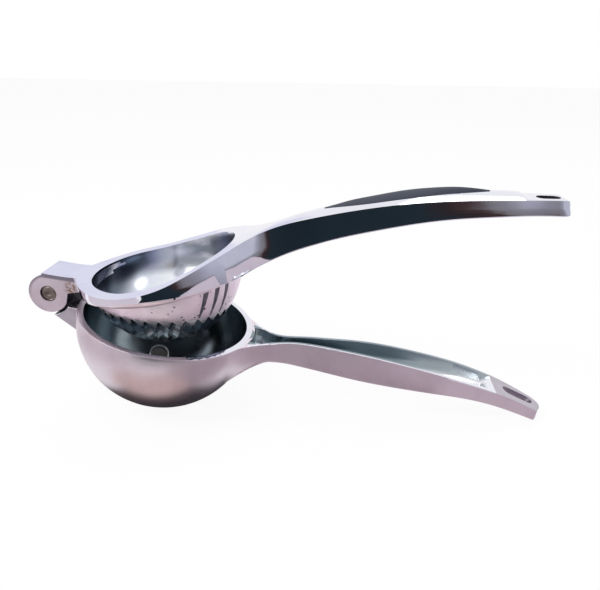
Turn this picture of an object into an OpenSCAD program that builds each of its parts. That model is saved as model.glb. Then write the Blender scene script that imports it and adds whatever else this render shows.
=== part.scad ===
// Hinged lemon squeezer. A bowl arm takes half a lemon, a press arm folds down on it, and
// both turn on one riveted pin. It stands open on a table, z = 0, on the bottom of the bowl
// and on the tip of the lower handle. +X runs from the hinge to the handles, +Y across.
// Each arm is drawn closed, with z = 0 through the centre of the bowl's sphere.

/* [Bowl] */
// Outer radius of the bowl
bowl_r = 35; // [33:0.5:40]
// Thickness of the bowl's wall
bowl_wall = 2.4; // [1.8:0.1:3]
// Height of the rim above the centre of the bowl's sphere
rim_rise = 2.4; // [1:0.1:4]
// Diameter of a drain hole
drain_d = 7.6; // [4:0.2:9]
// Number of drain holes in the ring round the middle one
drain_count = 5; // [3:1:7]
// Angle at the sphere's centre between the middle hole and the ring
drain_angle = 35; // [28:1:45]
// Width of the chamfer inside each drain hole
drain_chamfer = 0.6; // [0.3:0.1:1]

/* [Press cup] */
// Gap between the cup and the bowl's wall
cup_gap = 2.6; // [2:0.1:5]
// Thickness of the cup's wall
cup_wall = 1.6; // [1.4:0.1:2.4]
// Distance of the cup's centre from the bowl's centre, towards the handles
cup_shift = 0.6; // [0:0.1:1]
// Height of the cup's centre above the bowl's centre
cup_rise = 7.3; // [6:0.1:9]
// Number of flutes round the cup
flute_count = 36; // [24:2:44]
// Depth of a flute
flute_depth = 1.2; // [0.8:0.1:1.4]
// Angle from the bottom of the cup up to the points of the flutes
flute_top = 66; // [60:1:72]
// Angle from the bottom of the cup up to the lower ends of the flutes
flute_stop = 27; // [18:1:40]
// Slope of the ring of flutes, lower towards the handle
flute_slope = 15; // [0:1:16]

/* [Press rim] */
// Distance of the rim's outer edge inside the bowl's
rim_inset = 0.2; // [0:0.1:2]
// Distance of the rim's centre from the bowl's centre, towards the handles
rim_shift = 1; // [0:0.1:1.5]
// Gap between the two rims when closed
rim_gap = 0.5; // [0.3:0.1:2]
// Radius of the rim's lower edge
rim_round = 2.6; // [1:0.1:3]
// Height of the rim's top above the bowl's centre, where it is lowest
saddle_z = 7.2; // [6.5:0.1:9]

/* [Hinge] */
// Gap between the ears and the side of the bowl
ear_gap = 3.4; // [3:0.1:8]
// Height of the pin above the bowl's centre
pin_rise = 4.2; // [3:0.1:5]
// Width across both ears
hinge_w = 15.4; // [13:0.2:20]
// Width of the tongue between the ears
tongue_w = 6.6; // [5:0.2:8]
// Gap on each side of the tongue
tongue_gap = 0.2; // [0.15:0.05:0.4]
// Radius of the ears
ear_r = 7.9; // [7.5:0.1:9]
// Radius of the tongue's round end
tongue_r = 6; // [5:0.1:6.3]
// Gap between the tongue's round end and the roof over it
roof_gap = 0.6; // [0.4:0.1:1]
// Gap between the ears and the round shoulder of the lug
shoulder_gap = 1.1; // [0.8:0.1:1.6]
// Thickness of the roof over the tongue
roof_t = 2; // [1.5:0.1:2.4]
// Distance of the lug's top below the rim
lug_drop = 2.1; // [1:0.1:4]
// Slope of the lug's back
lug_slope = 27; // [20:1:34]
// Diameter of the pin
pin_d = 5; // [4:0.2:6]
// Running clearance round the pin, on the radius
pin_fit = 0.05; // [0.02:0.01:0.1]
// Diameter of the pin's riveted heads
pin_head_d = 6.4; // [6.2:0.2:8]
// Thickness of each riveted head
pin_head_t = 0.8; // [0.5:0.1:1.2]
// Distance of each riveted head below the face of its ear
pin_sink = 0.2; // [0:0.1:0.4]
// Angle between the arms as the squeezer stands
open_angle = 21; // [2:1:90]
// Angle between the arms when it is folded right back
travel = 180; // [150:5:180]

/* [Lower handle] */
// Length of the handle from the side of the bowl
lower_l = 121.3; // [105:0.5:145]
// Width at the neck behind the bowl
lower_neck_w = 7.4; // [6.5:0.2:10]
// Width where the hand holds it
lower_grip_w = 17.1; // [15:0.2:22]
// Width at the tip
lower_tip_w = 12.6; // [12:0.2:15]
// Height of the arch above the bowl's centre
lower_arch_z = 7.7; // [6:0.1:8.5]
// Height of the upper side of the tip
lower_tip_z = -1; // [-3:0.1:0]
// Thickness at the tip
lower_tip_t = 4.4; // [4:0.1:6]
// Depth of the handle at the neck
lower_neck_t = 9.6; // [8.5:0.1:11]
// Gap between the channel's end and the hanging slot
lower_bridge = 4.6; // [3:0.2:8]
// Length of the hanging slot
lower_slot_l = 13.6; // [10:0.2:14]
// Width of the hanging slot
lower_slot_w = 5.8; // [5:0.1:6]

/* [Upper handle] */
// Length of the handle from the press rim
upper_l = 116.6; // [100:0.5:140]
// Width at the waist
upper_waist_w = 10.8; // [9.5:0.2:14]
// Width where the hand holds it
upper_grip_w = 17.1; // [15:0.2:22]
// Width at the tip
upper_tip_w = 11.2; // [10.6:0.2:15]
// Height of the arch above the bowl's centre
upper_arch_z = 20.6; // [18:0.1:23]
// Height of the upper side of the tip
upper_tip_z = 12.8; // [11:0.1:14]
// Thickness at the tip
upper_tip_t = 6; // [5:0.1:7]
// Depth of the handle at the neck
upper_neck_t = 11.8; // [11:0.1:13]
// Height of the crown across the handle's back
crown_h = 1.6; // [1:0.1:2]
// Gap between the channel's end and the hanging slot
upper_bridge = 5; // [3:0.2:8]
// Length of the hanging slot
upper_slot_l = 9; // [8:0.2:10]
// Width of the hanging slot
upper_slot_w = 5.4; // [5:0.1:6]

/* [Both handles] */
// Thickness of the walls round a handle's channel
channel_wall = 1.8; // [1.5:0.1:2.2]
// Thickness of the floor of a handle's channel
channel_floor = 2.6; // [2:0.1:3]
// Wall left between a hanging slot and its tip
slot_wall = 2.9; // [2.4:0.1:4]
// Radius of a tip's corners, seen from above
tip_r = 4; // [3:0.2:5]
// Height of the bevel under a tip
tip_bevel = 0.8; // [0.4:0.1:1.2]

/* [Grip inlay] */
// Gap between the inlay's end and the handle's tip
inlay_gap = 26.9; // [22:0.5:32]
// Length of the inlay
inlay_l = 59.5; // [48:0.5:61]
// Width of the inlay
inlay_w = 10; // [8:0.2:11]
// Depth of its seat in the crown
inlay_seat = 1.2; // [0.8:0.1:1.4]
// Gap round the inlay in its seat
inlay_fit = 0.1; // [0.05:0.05:0.2]
// Height of the inlay above the crown
inlay_bulge = 1.6; // [1:0.1:2.5]

/* [Hidden] */
$fn = 96;
cut = 1; // how far a cutting shape runs past a face
far = 3 * bowl_r; // a length past everything near the bowl
handle_steps = 36; // rings along a handle
deck_steps = 40; // straight edges along the press arm's side view
flute_steps = 6; // rings along a flute
tongue_turn = -38; // direction of the tongue, from the pin down to the lug
shoulder_turn = -72; // direction of the shoulder's lower end, seen from the pin

// The bowl and the press cup
bowl_in_r = bowl_r - bowl_wall;
cup_r = bowl_in_r - cup_gap;
cup_in_r = cup_r - cup_wall;
cup_centre = [cup_shift, 0, cup_rise];
rim_r = bowl_r - rim_inset;
rim_z = rim_rise + rim_gap;
neck_z = rim_z + rim_round / 8; // lower side of the necks that leave the press rim

// The hinge
pin_reach = bowl_r + ear_gap + ear_r;
pin_centre = [-pin_reach, 0, pin_rise];
shoulder_r = ear_r + shoulder_gap;
roof_z = pin_rise + tongue_r + roof_gap + roof_t;
tongue_slot_w = tongue_w + 2 * tongue_gap;
ear_w = (hinge_w - tongue_slot_w) / 2;

// The two tips
lower_reach = bowl_r + lower_l;
upper_start = rim_r + rim_shift;
upper_reach = upper_start + upper_l;

// A value a share s of the way from a to b
function mix(a, b, s) = a + (b - a) * s;

// A smooth curve through the points [x, value], read at x
function slope_at(p, i) =
    let (a = max(i - 1, 0), b = min(i + 1, len(p) - 1))
    (p[b].y - p[a].y) / (p[b].x - p[a].x);
function span_of(p, x, i = 0) = i >= len(p) - 2 || x < p[i + 1].x ? i : span_of(p, x, i + 1);
function curve(p, x) =
    let (i = span_of(p, x), h = p[i + 1].x - p[i].x, t = min(max((x - p[i].x) / h, 0), 1))
    p[i].y * (1 + t * t * (2 * t - 3)) + p[i + 1].y * t * t * (3 - 2 * t)
    + slope_at(p, i) * h * t * (1 - t) * (1 - t) + slope_at(p, i + 1) * h * t * t * (t - 1);

// Lower handle. A share of 0 is the side of the bowl, 1 is the tip.
function lower_x(s) = mix(bowl_r, lower_reach, s);
lower_top_points = [
    [lower_x(-0.1), rim_rise],
    [lower_x(0.04), rim_rise],
    [lower_x(0.16), mix(rim_rise, lower_arch_z, 0.4)],
    [lower_x(0.29), mix(rim_rise, lower_arch_z, 0.78)],
    [lower_x(0.49), lower_arch_z],
    [lower_x(0.62), mix(lower_arch_z, lower_tip_z, 0.06)],
    [lower_x(0.79), mix(lower_arch_z, lower_tip_z, 0.27)],
    [lower_x(0.92), mix(lower_arch_z, lower_tip_z, 0.65)],
    [lower_x(1), lower_tip_z]];
lower_width_points = [
    [lower_x(-0.1), lower_neck_w * 3.8],
    [lower_x(-0.01), lower_neck_w * 3.2],
    [lower_x(0.025), lower_neck_w * 2.1],
    [lower_x(0.07), lower_neck_w * 1.4],
    [lower_x(0.14), lower_neck_w],
    [lower_x(0.22), mix(lower_neck_w, lower_grip_w, 0.19)],
    [lower_x(0.36), mix(lower_neck_w, lower_grip_w, 0.6)],
    [lower_x(0.52), mix(lower_neck_w, lower_grip_w, 0.9)],
    [lower_x(0.7), lower_grip_w],
    [lower_x(0.86), mix(lower_grip_w, lower_tip_w, 0.68)],
    [lower_x(1), lower_tip_w]];
lower_depth_points = [
    [lower_x(-0.1), lower_neck_t * 1.8],
    [lower_x(0), lower_neck_t * 1.3],
    [lower_x(0.04), lower_neck_t],
    [lower_x(0.16), lower_neck_t * 1.04],
    [lower_x(0.29), lower_neck_t * 1.2],
    [lower_x(0.49), lower_neck_t * 1.18],
    [lower_x(0.62), lower_neck_t * 0.98],
    [lower_x(0.74), mix(lower_neck_t, lower_tip_t, 0.55)],
    [lower_x(0.86), mix(lower_neck_t, lower_tip_t, 0.75)],
    [lower_x(1), lower_tip_t]];
function lower_top(x) = curve(lower_top_points, x);
function lower_half(x) = curve(lower_width_points, x) / 2;
function lower_under(x) = lower_top(x) - curve(lower_depth_points, x);

// Upper handle. A share of 0 is the press rim's edge, 1 is the tip.
function upper_x(s) = mix(upper_start, upper_reach, s);
deck_points = [
    [-pin_reach - ear_r, roof_z],
    [-pin_reach, roof_z],
    [-rim_r, mix(roof_z, saddle_z, 0.68)],
    [-0.6 * rim_r, mix(roof_z, saddle_z, 0.91)],
    [-0.33 * rim_r, saddle_z],
    [0, mix(saddle_z, upper_arch_z, 0.04)],
    [0.4 * rim_r, mix(saddle_z, upper_arch_z, 0.23)],
    [upper_x(-0.03), mix(saddle_z, upper_arch_z, 0.57)],
    [upper_x(0.13), mix(saddle_z, upper_arch_z, 0.83)],
    [upper_x(0.25), mix(saddle_z, upper_arch_z, 0.95)],
    [upper_x(0.43), upper_arch_z],
    [upper_x(0.64), mix(upper_arch_z, upper_tip_z, 0.15)],
    [upper_x(0.84), mix(upper_arch_z, upper_tip_z, 0.58)],
    [upper_x(1), upper_tip_z]];
upper_width_points = [
    [upper_x(-0.2), rim_r * 0.86],
    [upper_x(-0.05), rim_r * 0.9],
    [upper_x(-0.02), rim_r * 0.8],
    [upper_x(0.02), upper_waist_w * 1.7],
    [upper_x(0.055), upper_waist_w * 1.25],
    [upper_x(0.11), upper_waist_w],
    [upper_x(0.16), upper_waist_w],
    [upper_x(0.24), mix(upper_waist_w, upper_grip_w, 0.42)],
    [upper_x(0.37), mix(upper_waist_w, upper_grip_w, 0.82)],
    [upper_x(0.59), upper_grip_w],
    [upper_x(0.75), mix(upper_grip_w, upper_tip_w, 0.25)],
    [upper_x(0.9), mix(upper_grip_w, upper_tip_w, 0.84)],
    [upper_x(1), upper_tip_w]];
upper_depth_points = [
    [upper_x(-0.2), upper_neck_t],
    [upper_x(0.08), upper_neck_t],
    [upper_x(0.28), mix(upper_neck_t, upper_tip_t, 0.38)],
    [upper_x(0.43), mix(upper_neck_t, upper_tip_t, 0.57)],
    [upper_x(0.59), mix(upper_neck_t, upper_tip_t, 0.78)],
    [upper_x(0.74), mix(upper_neck_t, upper_tip_t, 0.95)],
    [upper_x(1), upper_tip_t]];
crown_points = [
    [upper_x(0), crown_h * 0.1],
    [upper_x(0.1), crown_h * 0.4],
    [upper_x(0.24), crown_h * 0.8],
    [upper_x(0.6), crown_h],
    [upper_x(0.87), crown_h],
    [upper_x(0.89), crown_h * 0.1],
    [upper_x(1), crown_h * 0.1]];
function deck(x) = curve(deck_points, x);
function upper_half(x) = curve(upper_width_points, x) / 2;
function upper_under(x) = max(neck_z, deck(x) - curve(upper_depth_points, x));
function crown(x) = max(curve(crown_points, x), crown_h * 0.1);

// Grip inlay. A share of 0 is its start, 1 is its end.
function inlay_x(s) = upper_reach - inlay_gap - inlay_l * (1 - s);
inlay_width_points = [
    [inlay_x(0), inlay_w * 0.05],
    [inlay_x(0.1), inlay_w * 0.62],
    [inlay_x(0.24), inlay_w * 0.92],
    [inlay_x(0.45), inlay_w],
    [inlay_x(0.62), inlay_w * 0.87],
    [inlay_x(0.8), inlay_w * 0.5],
    [inlay_x(1), inlay_w * 0.05]];
function inlay_half(x) = curve(inlay_width_points, x) / 2;
function inlay_floor(x) = deck(x) + crown(x) - inlay_seat;

// How the squeezer stands: the tip's lower edge is as low as the bowl
foot_x = lower_reach - tip_bevel;
foot_z = lower_under(foot_x);
tilt = asin(bowl_r / norm([foot_x, foot_z])) + atan(foot_z / foot_x);
left_x = -pin_reach * cos(tilt) + pin_rise * sin(tilt) - ear_r;
right_x = lower_reach * cos(tilt) + lower_tip_z * sin(tilt);

// Places along a handle, closer together at its root and where its end is rounded
function places(start, reach) = concat(
    [for (i = [0 : handle_steps]) mix(start, reach - tip_r, pow(i / handle_steps, 1.4))],
    [reach - tip_r / 2, reach - tip_bevel, reach - tip_bevel / 3, reach]);

// The half width at x once a tip's corners are rounded
function rounded_half(x, half, reach) =
    half - tip_r + sqrt(tip_r * tip_r - pow(max(x - reach + tip_r, 0), 2));

// How far the bevel under a tip lifts its lower side at x
function bevel_lift(x, reach) = max(x - reach + tip_bevel, 0);

// The two frames that the arms stand in
module bowl_frame() {
    translate([-(left_x + right_x) / 2, 0, bowl_r]) rotate([0, tilt, 0]) children();
}
module press_frame() {
    bowl_frame()
        translate(pin_centre) rotate([0, -open_angle, 0]) translate(-pin_centre) children();
}

// A flat shape drawn in x and z, given a width across the squeezer
module across(width) {
    rotate([90, 0, 0]) translate([0, 0, -width / 2]) linear_extrude(width) children();
}

// A solid through a row of rings, each a closed loop of points at one place
module loft(rings) {
    n = len(rings[0]);
    last = n * (len(rings) - 1);
    polyhedron(
        points = [for (ring = rings) each ring],
        faces = concat(
            [[for (j = [n - 1 : -1 : 0]) j]],
            [[for (j = [0 : n - 1]) last + j]],
            [for (i = [0 : len(rings) - 2], j = [0 : n - 1])
                let (a = i * n + j, b = i * n + (j + 1) % n)
                each [[a, b, a + n], [b, b + n, a + n]]]),
        convexity = 8);
}

// A handle's section at x: its base is flat over a share of the width, its sides are rounded
// below, and its back may be crowned. It runs from the +Y edge under the handle to the -Y edge.
function section(x, half, top, base, flat, crown_z = 0) =
    let (side = mix(base, top, 0.6))
    concat(
        [[x, half, top]],
        [for (a = [0 : 22.5 : 90]) [x, half * mix(flat, 1, cos(a)), side - (side - base) * sin(a)]],
        [for (a = [0 : 22.5 : 90]) [x, -half * mix(flat, 1, sin(a)), side - (side - base) * cos(a)]],
        [[x, -half, top]],
        crown_z == 0 ? [] : [for (t = [-0.6 : 0.3 : 0.6]) [x, t * half, top + crown_z * (1 - t * t)]]);

// A long hole with round ends near a tip, square to the handle's back there
module hang_slot(reach, length, width, back_z, next_z) {
    translate([reach - slot_wall - length / 2, 0, back_z])
        rotate([0, atan(back_z - next_z), 0])
            translate([0, 0, -far / 2])
                linear_extrude(far) {
                    for (side = [-1, 1])
                        translate([side * (length - width) / 2, 0]) circle(d = width);
                    square([length - width, width], center = true);
                }
}

// Lower arm

module lug() {
    shoulder_end = shoulder_r * [cos(shoulder_turn), sin(shoulder_turn)];
    back_end = shoulder_end + (ear_r + ear_gap + bowl_wall) * [1, -tan(lug_slope)];
    lug_top = rim_rise - lug_drop - pin_rise;
    translate(pin_centre) across(hinge_w) difference() {
        polygon([shoulder_end, back_end, [back_end.x, lug_top], [shoulder_end.x, lug_top]]);
        circle(shoulder_r);
    }
}

// The tongue's side view, grown by a gap, with its neck at each of the turns
module tongue_outline(gap, turns) {
    neck_w = 1.7 * tongue_r + 2 * gap;
    circle(tongue_r + gap);
    for (turn = turns)
        rotate(turn) translate([0, -neck_w / 2]) square([shoulder_r + tongue_r / 2, neck_w]);
}

module lower_handle() {
    loft([for (x = places(bowl_in_r - cut, lower_reach))
        section(x, rounded_half(x, lower_half(x), lower_reach), lower_top(x),
            lower_under(x) + bevel_lift(x, lower_reach), 0.88)]);
}

module lower_channel() {
    start = bowl_r + channel_wall;
    end = lower_reach - slot_wall - lower_slot_l - lower_bridge;
    loft([for (i = [0 : handle_steps])
        let (x = mix(start, end, i / handle_steps))
        section(x, lower_half(x) - channel_wall, lower_top(x) + cut,
            lower_under(x) + channel_floor, 0.5)]);
}

module drain_hole() {
    chamfer_z = sqrt(pow(bowl_in_r, 2) - pow(drain_d / 2, 2)) - drain_chamfer;
    cylinder(d = drain_d, h = bowl_r + cut);
    translate([0, 0, chamfer_z])
        cylinder(d1 = drain_d + 4 * drain_chamfer, d2 = drain_d, h = 2 * drain_chamfer);
}

module lower_arm() {
    color("silver") bowl_frame() difference() {
        union() {
            difference() {
                sphere(bowl_r);
                translate([-far, -far, rim_rise]) cube(2 * far);
            }
            lug();
            translate(pin_centre) across(tongue_w) tongue_outline(0, [tongue_turn]);
            lower_handle();
        }
        sphere(bowl_in_r);
        cylinder(r = bowl_in_r, h = far);
        rotate([180, 0, 0]) drain_hole();
        for (i = [0 : drain_count - 1])
            rotate([0, 180 - drain_angle, 360 * (i + 0.5) / drain_count]) drain_hole();
        lower_channel();
        translate(pin_centre) across(far) circle(d = pin_d + 2 * pin_fit);
        slot_x = lower_reach - slot_wall - lower_slot_l / 2;
        hang_slot(lower_reach, lower_slot_l, lower_slot_w, lower_top(slot_x), lower_top(slot_x + 1));
    }
}

// Upper arm

// The press arm's side view from the pin to the rim's edge, filled up to the deck
module deck_side() {
    polygon(concat(
        [for (i = [0 : deck_steps])
            let (x = mix(-pin_reach, upper_start, i / deck_steps)) [x, deck(x)]],
        [[upper_start, rim_z - cut], [-pin_reach, rim_z - cut]]));
}

// The rim and the neck that joins it to the ears, under one deck
module press_rim() {
    intersection() {
        union() {
            translate([rim_shift, 0, rim_z])
                rotate_extrude() {
                    square([rim_r - rim_round, far]);
                    translate([0, rim_round]) square([rim_r, far]);
                    translate([rim_r - rim_round, rim_round]) circle(rim_round);
                }
            translate([-pin_reach, -hinge_w / 2, neck_z])
                cube([pin_reach - 0.8 * rim_r, hinge_w, far]);
        }
        across(far) deck_side();
    }
}

// One V-shaped groove down the side of the cup, pointed at both ends
module flute() {
    loft([for (i = [0 : flute_steps])
        let (
            s = i / flute_steps,
            turn = mix(flute_top, flute_stop, s),
            share = min(6 * s - 0.2, 1, 4 * (1 - s) - 0.2),
            apex_r = cup_r - flute_depth * share * mix(1, 0.5, s),
            mouth_r = cup_r + cut,
            half = cup_r * sin(turn) * tan(180 / flute_count) * (1 + cut / flute_depth))
        [for (q = [[apex_r, 0], [mouth_r, -half], [mouth_r, half]])
            [q[0] * sin(turn), q[1], -q[0] * cos(turn)]]]);
}

module press_cup() {
    translate(cup_centre) difference() {
        sphere(cup_r);
        translate([-far, -far, rim_z + cut - cup_rise]) cube(2 * far);
        rotate([0, flute_slope, 0])
            for (i = [0 : flute_count - 1]) rotate([0, 0, 360 * (i + 0.5) / flute_count]) flute();
    }
}

module ears() {
    translate(pin_centre)
        for (side = [-1, 1])
            translate([0, side * (tongue_slot_w + ear_w) / 2, 0]) across(ear_w) circle(ear_r);
}

module upper_handle() {
    loft([for (x = places(0.7 * rim_r, upper_reach))
        section(x, rounded_half(x, upper_half(x), upper_reach), deck(x),
            upper_under(x) + bevel_lift(x, upper_reach), 0.7, crown(x))]);
}

module upper_channel() {
    start = upper_start + 2 * channel_wall;
    end = upper_reach - slot_wall - upper_slot_l - upper_bridge;
    loft([for (i = [0 : handle_steps])
        let (
            x = mix(start, end, i / handle_steps),
            half = upper_half(x) - channel_wall,
            mouth = upper_under(x) - cut,
            ceiling = deck(x) - channel_floor)
        [[x, half, mouth], [x, -half, mouth],
            [x, -half, ceiling - channel_wall], [x, -0.7 * half, ceiling],
            [x, 0.7 * half, ceiling], [x, half, ceiling - channel_wall]]]);
}

module inlay_seat_cut() {
    loft([for (i = [0 : handle_steps])
        let (
            x = inlay_x(i / handle_steps),
            half = inlay_half(x) + inlay_fit,
            low = inlay_floor(x))
        [[x, half, low], [x, -half, low], [x, -half, low + far / 4], [x, half, low + far / 4]]]);
}

module upper_arm() {
    color("gainsboro") press_frame() difference() {
        union() {
            press_rim();
            press_cup();
            ears();
            upper_handle();
        }
        translate(cup_centre) {
            sphere(cup_in_r);
            cylinder(r = cup_in_r, h = far);
        }
        translate(pin_centre) {
            across(tongue_slot_w) tongue_outline(roof_gap, [tongue_turn, tongue_turn - travel]);
            across(far) circle(d = pin_d + 2 * pin_fit);
            for (side = [-1, 1])
                translate([0, side * (hinge_w / 2 - pin_sink - pin_head_t + far / 2), 0])
                    across(far) circle(d = pin_head_d + 2 * pin_fit);
        }
        upper_channel();
        inlay_seat_cut();
        slot_x = upper_reach - slot_wall - upper_slot_l / 2;
        hang_slot(upper_reach, upper_slot_l, upper_slot_w, deck(slot_x), deck(slot_x + 1));
    }
}

// Pin and inlay

module hinge_pin() {
    pin_l = hinge_w - 2 * pin_sink;
    color("dimgray") press_frame() translate(pin_centre) {
        across(pin_l) circle(d = pin_d);
        for (side = [-1, 1])
            translate([0, side * (pin_l - pin_head_t) / 2, 0])
                across(pin_head_t) circle(d = pin_head_d);
    }
}

module grip_inlay() {
    color([0.08, 0.08, 0.09]) press_frame()
        loft([for (i = [0 : handle_steps])
            let (
                s = i / handle_steps,
                x = inlay_x(s),
                half = inlay_half(x),
                low = inlay_floor(x),
                edge = deck(x) + crown(x) * (1 - pow(half / upper_half(x), 2)),
                peak = deck(x) + crown(x) + inlay_bulge * sin(180 * s))
            concat(
                [[x, half, low], [x, -half, low]],
                [for (t = [-1 : 0.25 : 1]) [x, t * half, mix(peak, edge, t * t)]])]);
}

lower_arm();
upper_arm();
hinge_pin();
grip_inlay();
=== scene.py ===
import bpy
import bmesh
import math
from mathutils import Matrix, Vector


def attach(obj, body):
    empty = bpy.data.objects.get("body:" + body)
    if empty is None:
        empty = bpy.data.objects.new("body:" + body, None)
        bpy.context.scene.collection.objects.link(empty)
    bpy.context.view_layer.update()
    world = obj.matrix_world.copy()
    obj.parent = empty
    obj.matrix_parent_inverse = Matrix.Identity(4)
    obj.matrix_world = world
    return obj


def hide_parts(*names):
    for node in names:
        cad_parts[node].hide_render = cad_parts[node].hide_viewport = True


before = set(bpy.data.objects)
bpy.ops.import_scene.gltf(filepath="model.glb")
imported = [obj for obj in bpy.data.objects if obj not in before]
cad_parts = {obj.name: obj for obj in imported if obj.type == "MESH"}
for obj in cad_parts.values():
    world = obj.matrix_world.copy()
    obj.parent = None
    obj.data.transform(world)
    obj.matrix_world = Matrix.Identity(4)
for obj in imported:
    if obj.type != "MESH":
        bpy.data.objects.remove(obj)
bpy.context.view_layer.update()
scene = bpy.context.scene
print("frame loaded:", len(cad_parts), "nodes")

# How the squeezer stands, in millimetres and degrees. Each arm is drawn closed, with its own
# X along the handle and Z up, round the centre of the bowl's sphere.
stand = {
    "tilt": 11.0826,
    "shift": -50.3319,
    "bowlRadius": 35.0,
    "pinX": -46.3,
    "pinZ": 4.2,
    "openAngle": 21.0,
}
pinSpot = Vector((stand["pinX"], 0, stand["pinZ"]))
bowlPlace = (
    Matrix.Scale(0.001, 4)
    @ Matrix.Translation((stand["shift"], 0, stand["bowlRadius"]))
    @ Matrix.Rotation(math.radians(stand["tilt"]), 4, "Y")
)
pressPlace = (
    bowlPlace
    @ Matrix.Translation(pinSpot)
    @ Matrix.Rotation(math.radians(-stand["openAngle"]), 4, "Y")
    @ Matrix.Translation(-pinSpot)
)


# ---- small tools -----------------------------------------------------------------

def mix(a, b, share):
    return a + (b - a) * share


def ease(low, high, x):
    t = min(max((x - low) / (high - low), 0), 1)
    return t * t * (3 - 2 * t)


# A smooth curve through points (x, value), straight beyond its ends
def smoothCurve(points):
    xs = [p[0] for p in points]
    ys = [p[1] for p in points]
    count = len(points)
    gaps = [xs[i + 1] - xs[i] for i in range(count - 1)]
    rise = [(ys[i + 1] - ys[i]) / gaps[i] for i in range(count - 1)]
    diagonal, right = [1.0] * count, [0.0] * count
    bend = [0.0] * count
    for i in range(1, count - 1):
        lower = gaps[i - 1]
        pivot = 2 * (gaps[i - 1] + gaps[i]) - lower * right[i - 1]
        right[i] = gaps[i] / pivot
        bend[i] = (6 * (rise[i] - rise[i - 1]) - lower * bend[i - 1]) / pivot
    for i in range(count - 2, 0, -1):
        bend[i] -= right[i] * bend[i + 1]

    def at(x):
        if x <= xs[0]:
            return ys[0] + (x - xs[0]) * (rise[0] - gaps[0] * bend[1] / 6)
        if x >= xs[-1]:
            return ys[-1] + (x - xs[-1]) * (rise[-1] + gaps[-1] * bend[-2] / 6)
        i = max(k for k in range(count - 1) if xs[k] <= x)
        a, b = (xs[i + 1] - x) / gaps[i], (x - xs[i]) / gaps[i]
        curve = (a ** 3 - a) * bend[i] + (b ** 3 - b) * bend[i + 1]
        return a * ys[i] + b * ys[i + 1] + curve * gaps[i] ** 2 / 6

    return at


# Extrudes a row of vertices to new spots and gives the new row in the same order
def nextRow(bm, row, spots, closed=False):
    pairs = zip(row, row[1:] + row[:1]) if closed else zip(row, row[1:])
    edges = [bm.edges.get(pair) for pair in pairs]
    grown = bmesh.ops.extrude_edge_only(bm, edges=edges)["geom"]
    fresh = {item for item in grown if isinstance(item, bmesh.types.BMVert)}
    newRow = []
    for vert, spot in zip(row, spots):
        others = [edge.other_vert(vert) for edge in vert.link_edges]
        twin = next(other for other in others if other in fresh)
        twin.co = spot
        newRow.append(twin)
    return newRow


def rowEdges(bm, row, closed=False):
    pairs = zip(row, row[1:] + row[:1]) if closed else zip(row, row[1:])
    return [bm.edges.get(pair) for pair in pairs]


# Extrudes faces and gives the new vertices and the new faces
def pushFaces(bm, faces, keep=False):
    grown = bmesh.ops.extrude_face_region(bm, geom=faces)["geom"]
    verts = [item for item in grown if isinstance(item, bmesh.types.BMVert)]
    newFaces = [item for item in grown if isinstance(item, bmesh.types.BMFace)]
    if not keep:
        bmesh.ops.delete(bm, geom=faces, context="FACES")
    return verts, newFaces


def roundEdges(bm, edges, width, segments=3):
    live = [edge for edge in edges if edge is not None and edge.is_valid]
    return bmesh.ops.bevel(bm, geom=live, offset=width, offset_type="OFFSET", segments=segments,
                           profile=0.5, affect="EDGES", material=-1, clamp_overlap=True)


# Finishes a bmesh as a piece: its place is in its mesh and its object sits at the origin
def makePiece(bm, name, place, sharpAngle=32):
    bmesh.ops.remove_doubles(bm, verts=bm.verts, dist=0.0005)
    bmesh.ops.dissolve_degenerate(bm, edges=bm.edges, dist=0.0005)
    bmesh.ops.recalc_face_normals(bm, faces=bm.faces)
    mesh = bpy.data.meshes.new(name)
    bm.to_mesh(mesh)
    bm.free()
    mesh.transform(place)
    piece = bpy.data.objects.new(name, mesh)
    scene.collection.objects.link(piece)
    shadePiece(piece, sharpAngle)
    return piece


def shadePiece(piece, sharpAngle):
    bm = bmesh.new()
    bm.from_mesh(piece.data)
    for face in bm.faces:
        face.smooth = True
    limit = math.radians(sharpAngle)
    for edge in bm.edges:
        edge.smooth = len(edge.link_faces) == 2 and edge.calc_face_angle(0) < limit
    bm.to_mesh(piece.data)
    bm.free()


# Takes a cutter piece away from a piece
def cutWith(piece, cutter):
    cut = piece.modifiers.new("cut", "BOOLEAN")
    cut.operation = "DIFFERENCE"
    cut.solver = "EXACT"
    cut.object = cutter
    view = bpy.context.evaluated_depsgraph_get()
    mesh = bpy.data.meshes.new_from_object(piece.evaluated_get(view))
    piece.modifiers.clear()
    piece.data = mesh
    bpy.data.objects.remove(cutter)
    bm = bmesh.new()
    bm.from_mesh(mesh)
    bmesh.ops.remove_doubles(bm, verts=bm.verts, dist=0.00002)
    bm.to_mesh(mesh)
    bm.free()


# A prism from an outline of points (x, z), given a width across the squeezer
def slab(bm, outline, width, z=0.0):
    verts = [bm.verts.new((x, -width / 2, height)) for x, height in outline]
    face = bm.faces.new(verts)
    pushed, faces = pushFaces(bm, [face], keep=True)
    for vert in pushed:
        vert.co.y = width / 2
    return verts, pushed


def arcPoints(centre, radius, start, end, steps):
    angles = [math.radians(mix(start, end, i / steps)) for i in range(steps + 1)]
    return [(centre[0] + radius * math.cos(a), centre[1] + radius * math.sin(a)) for a in angles]


# ---- press arm -------------------------------------------------------------------

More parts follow.
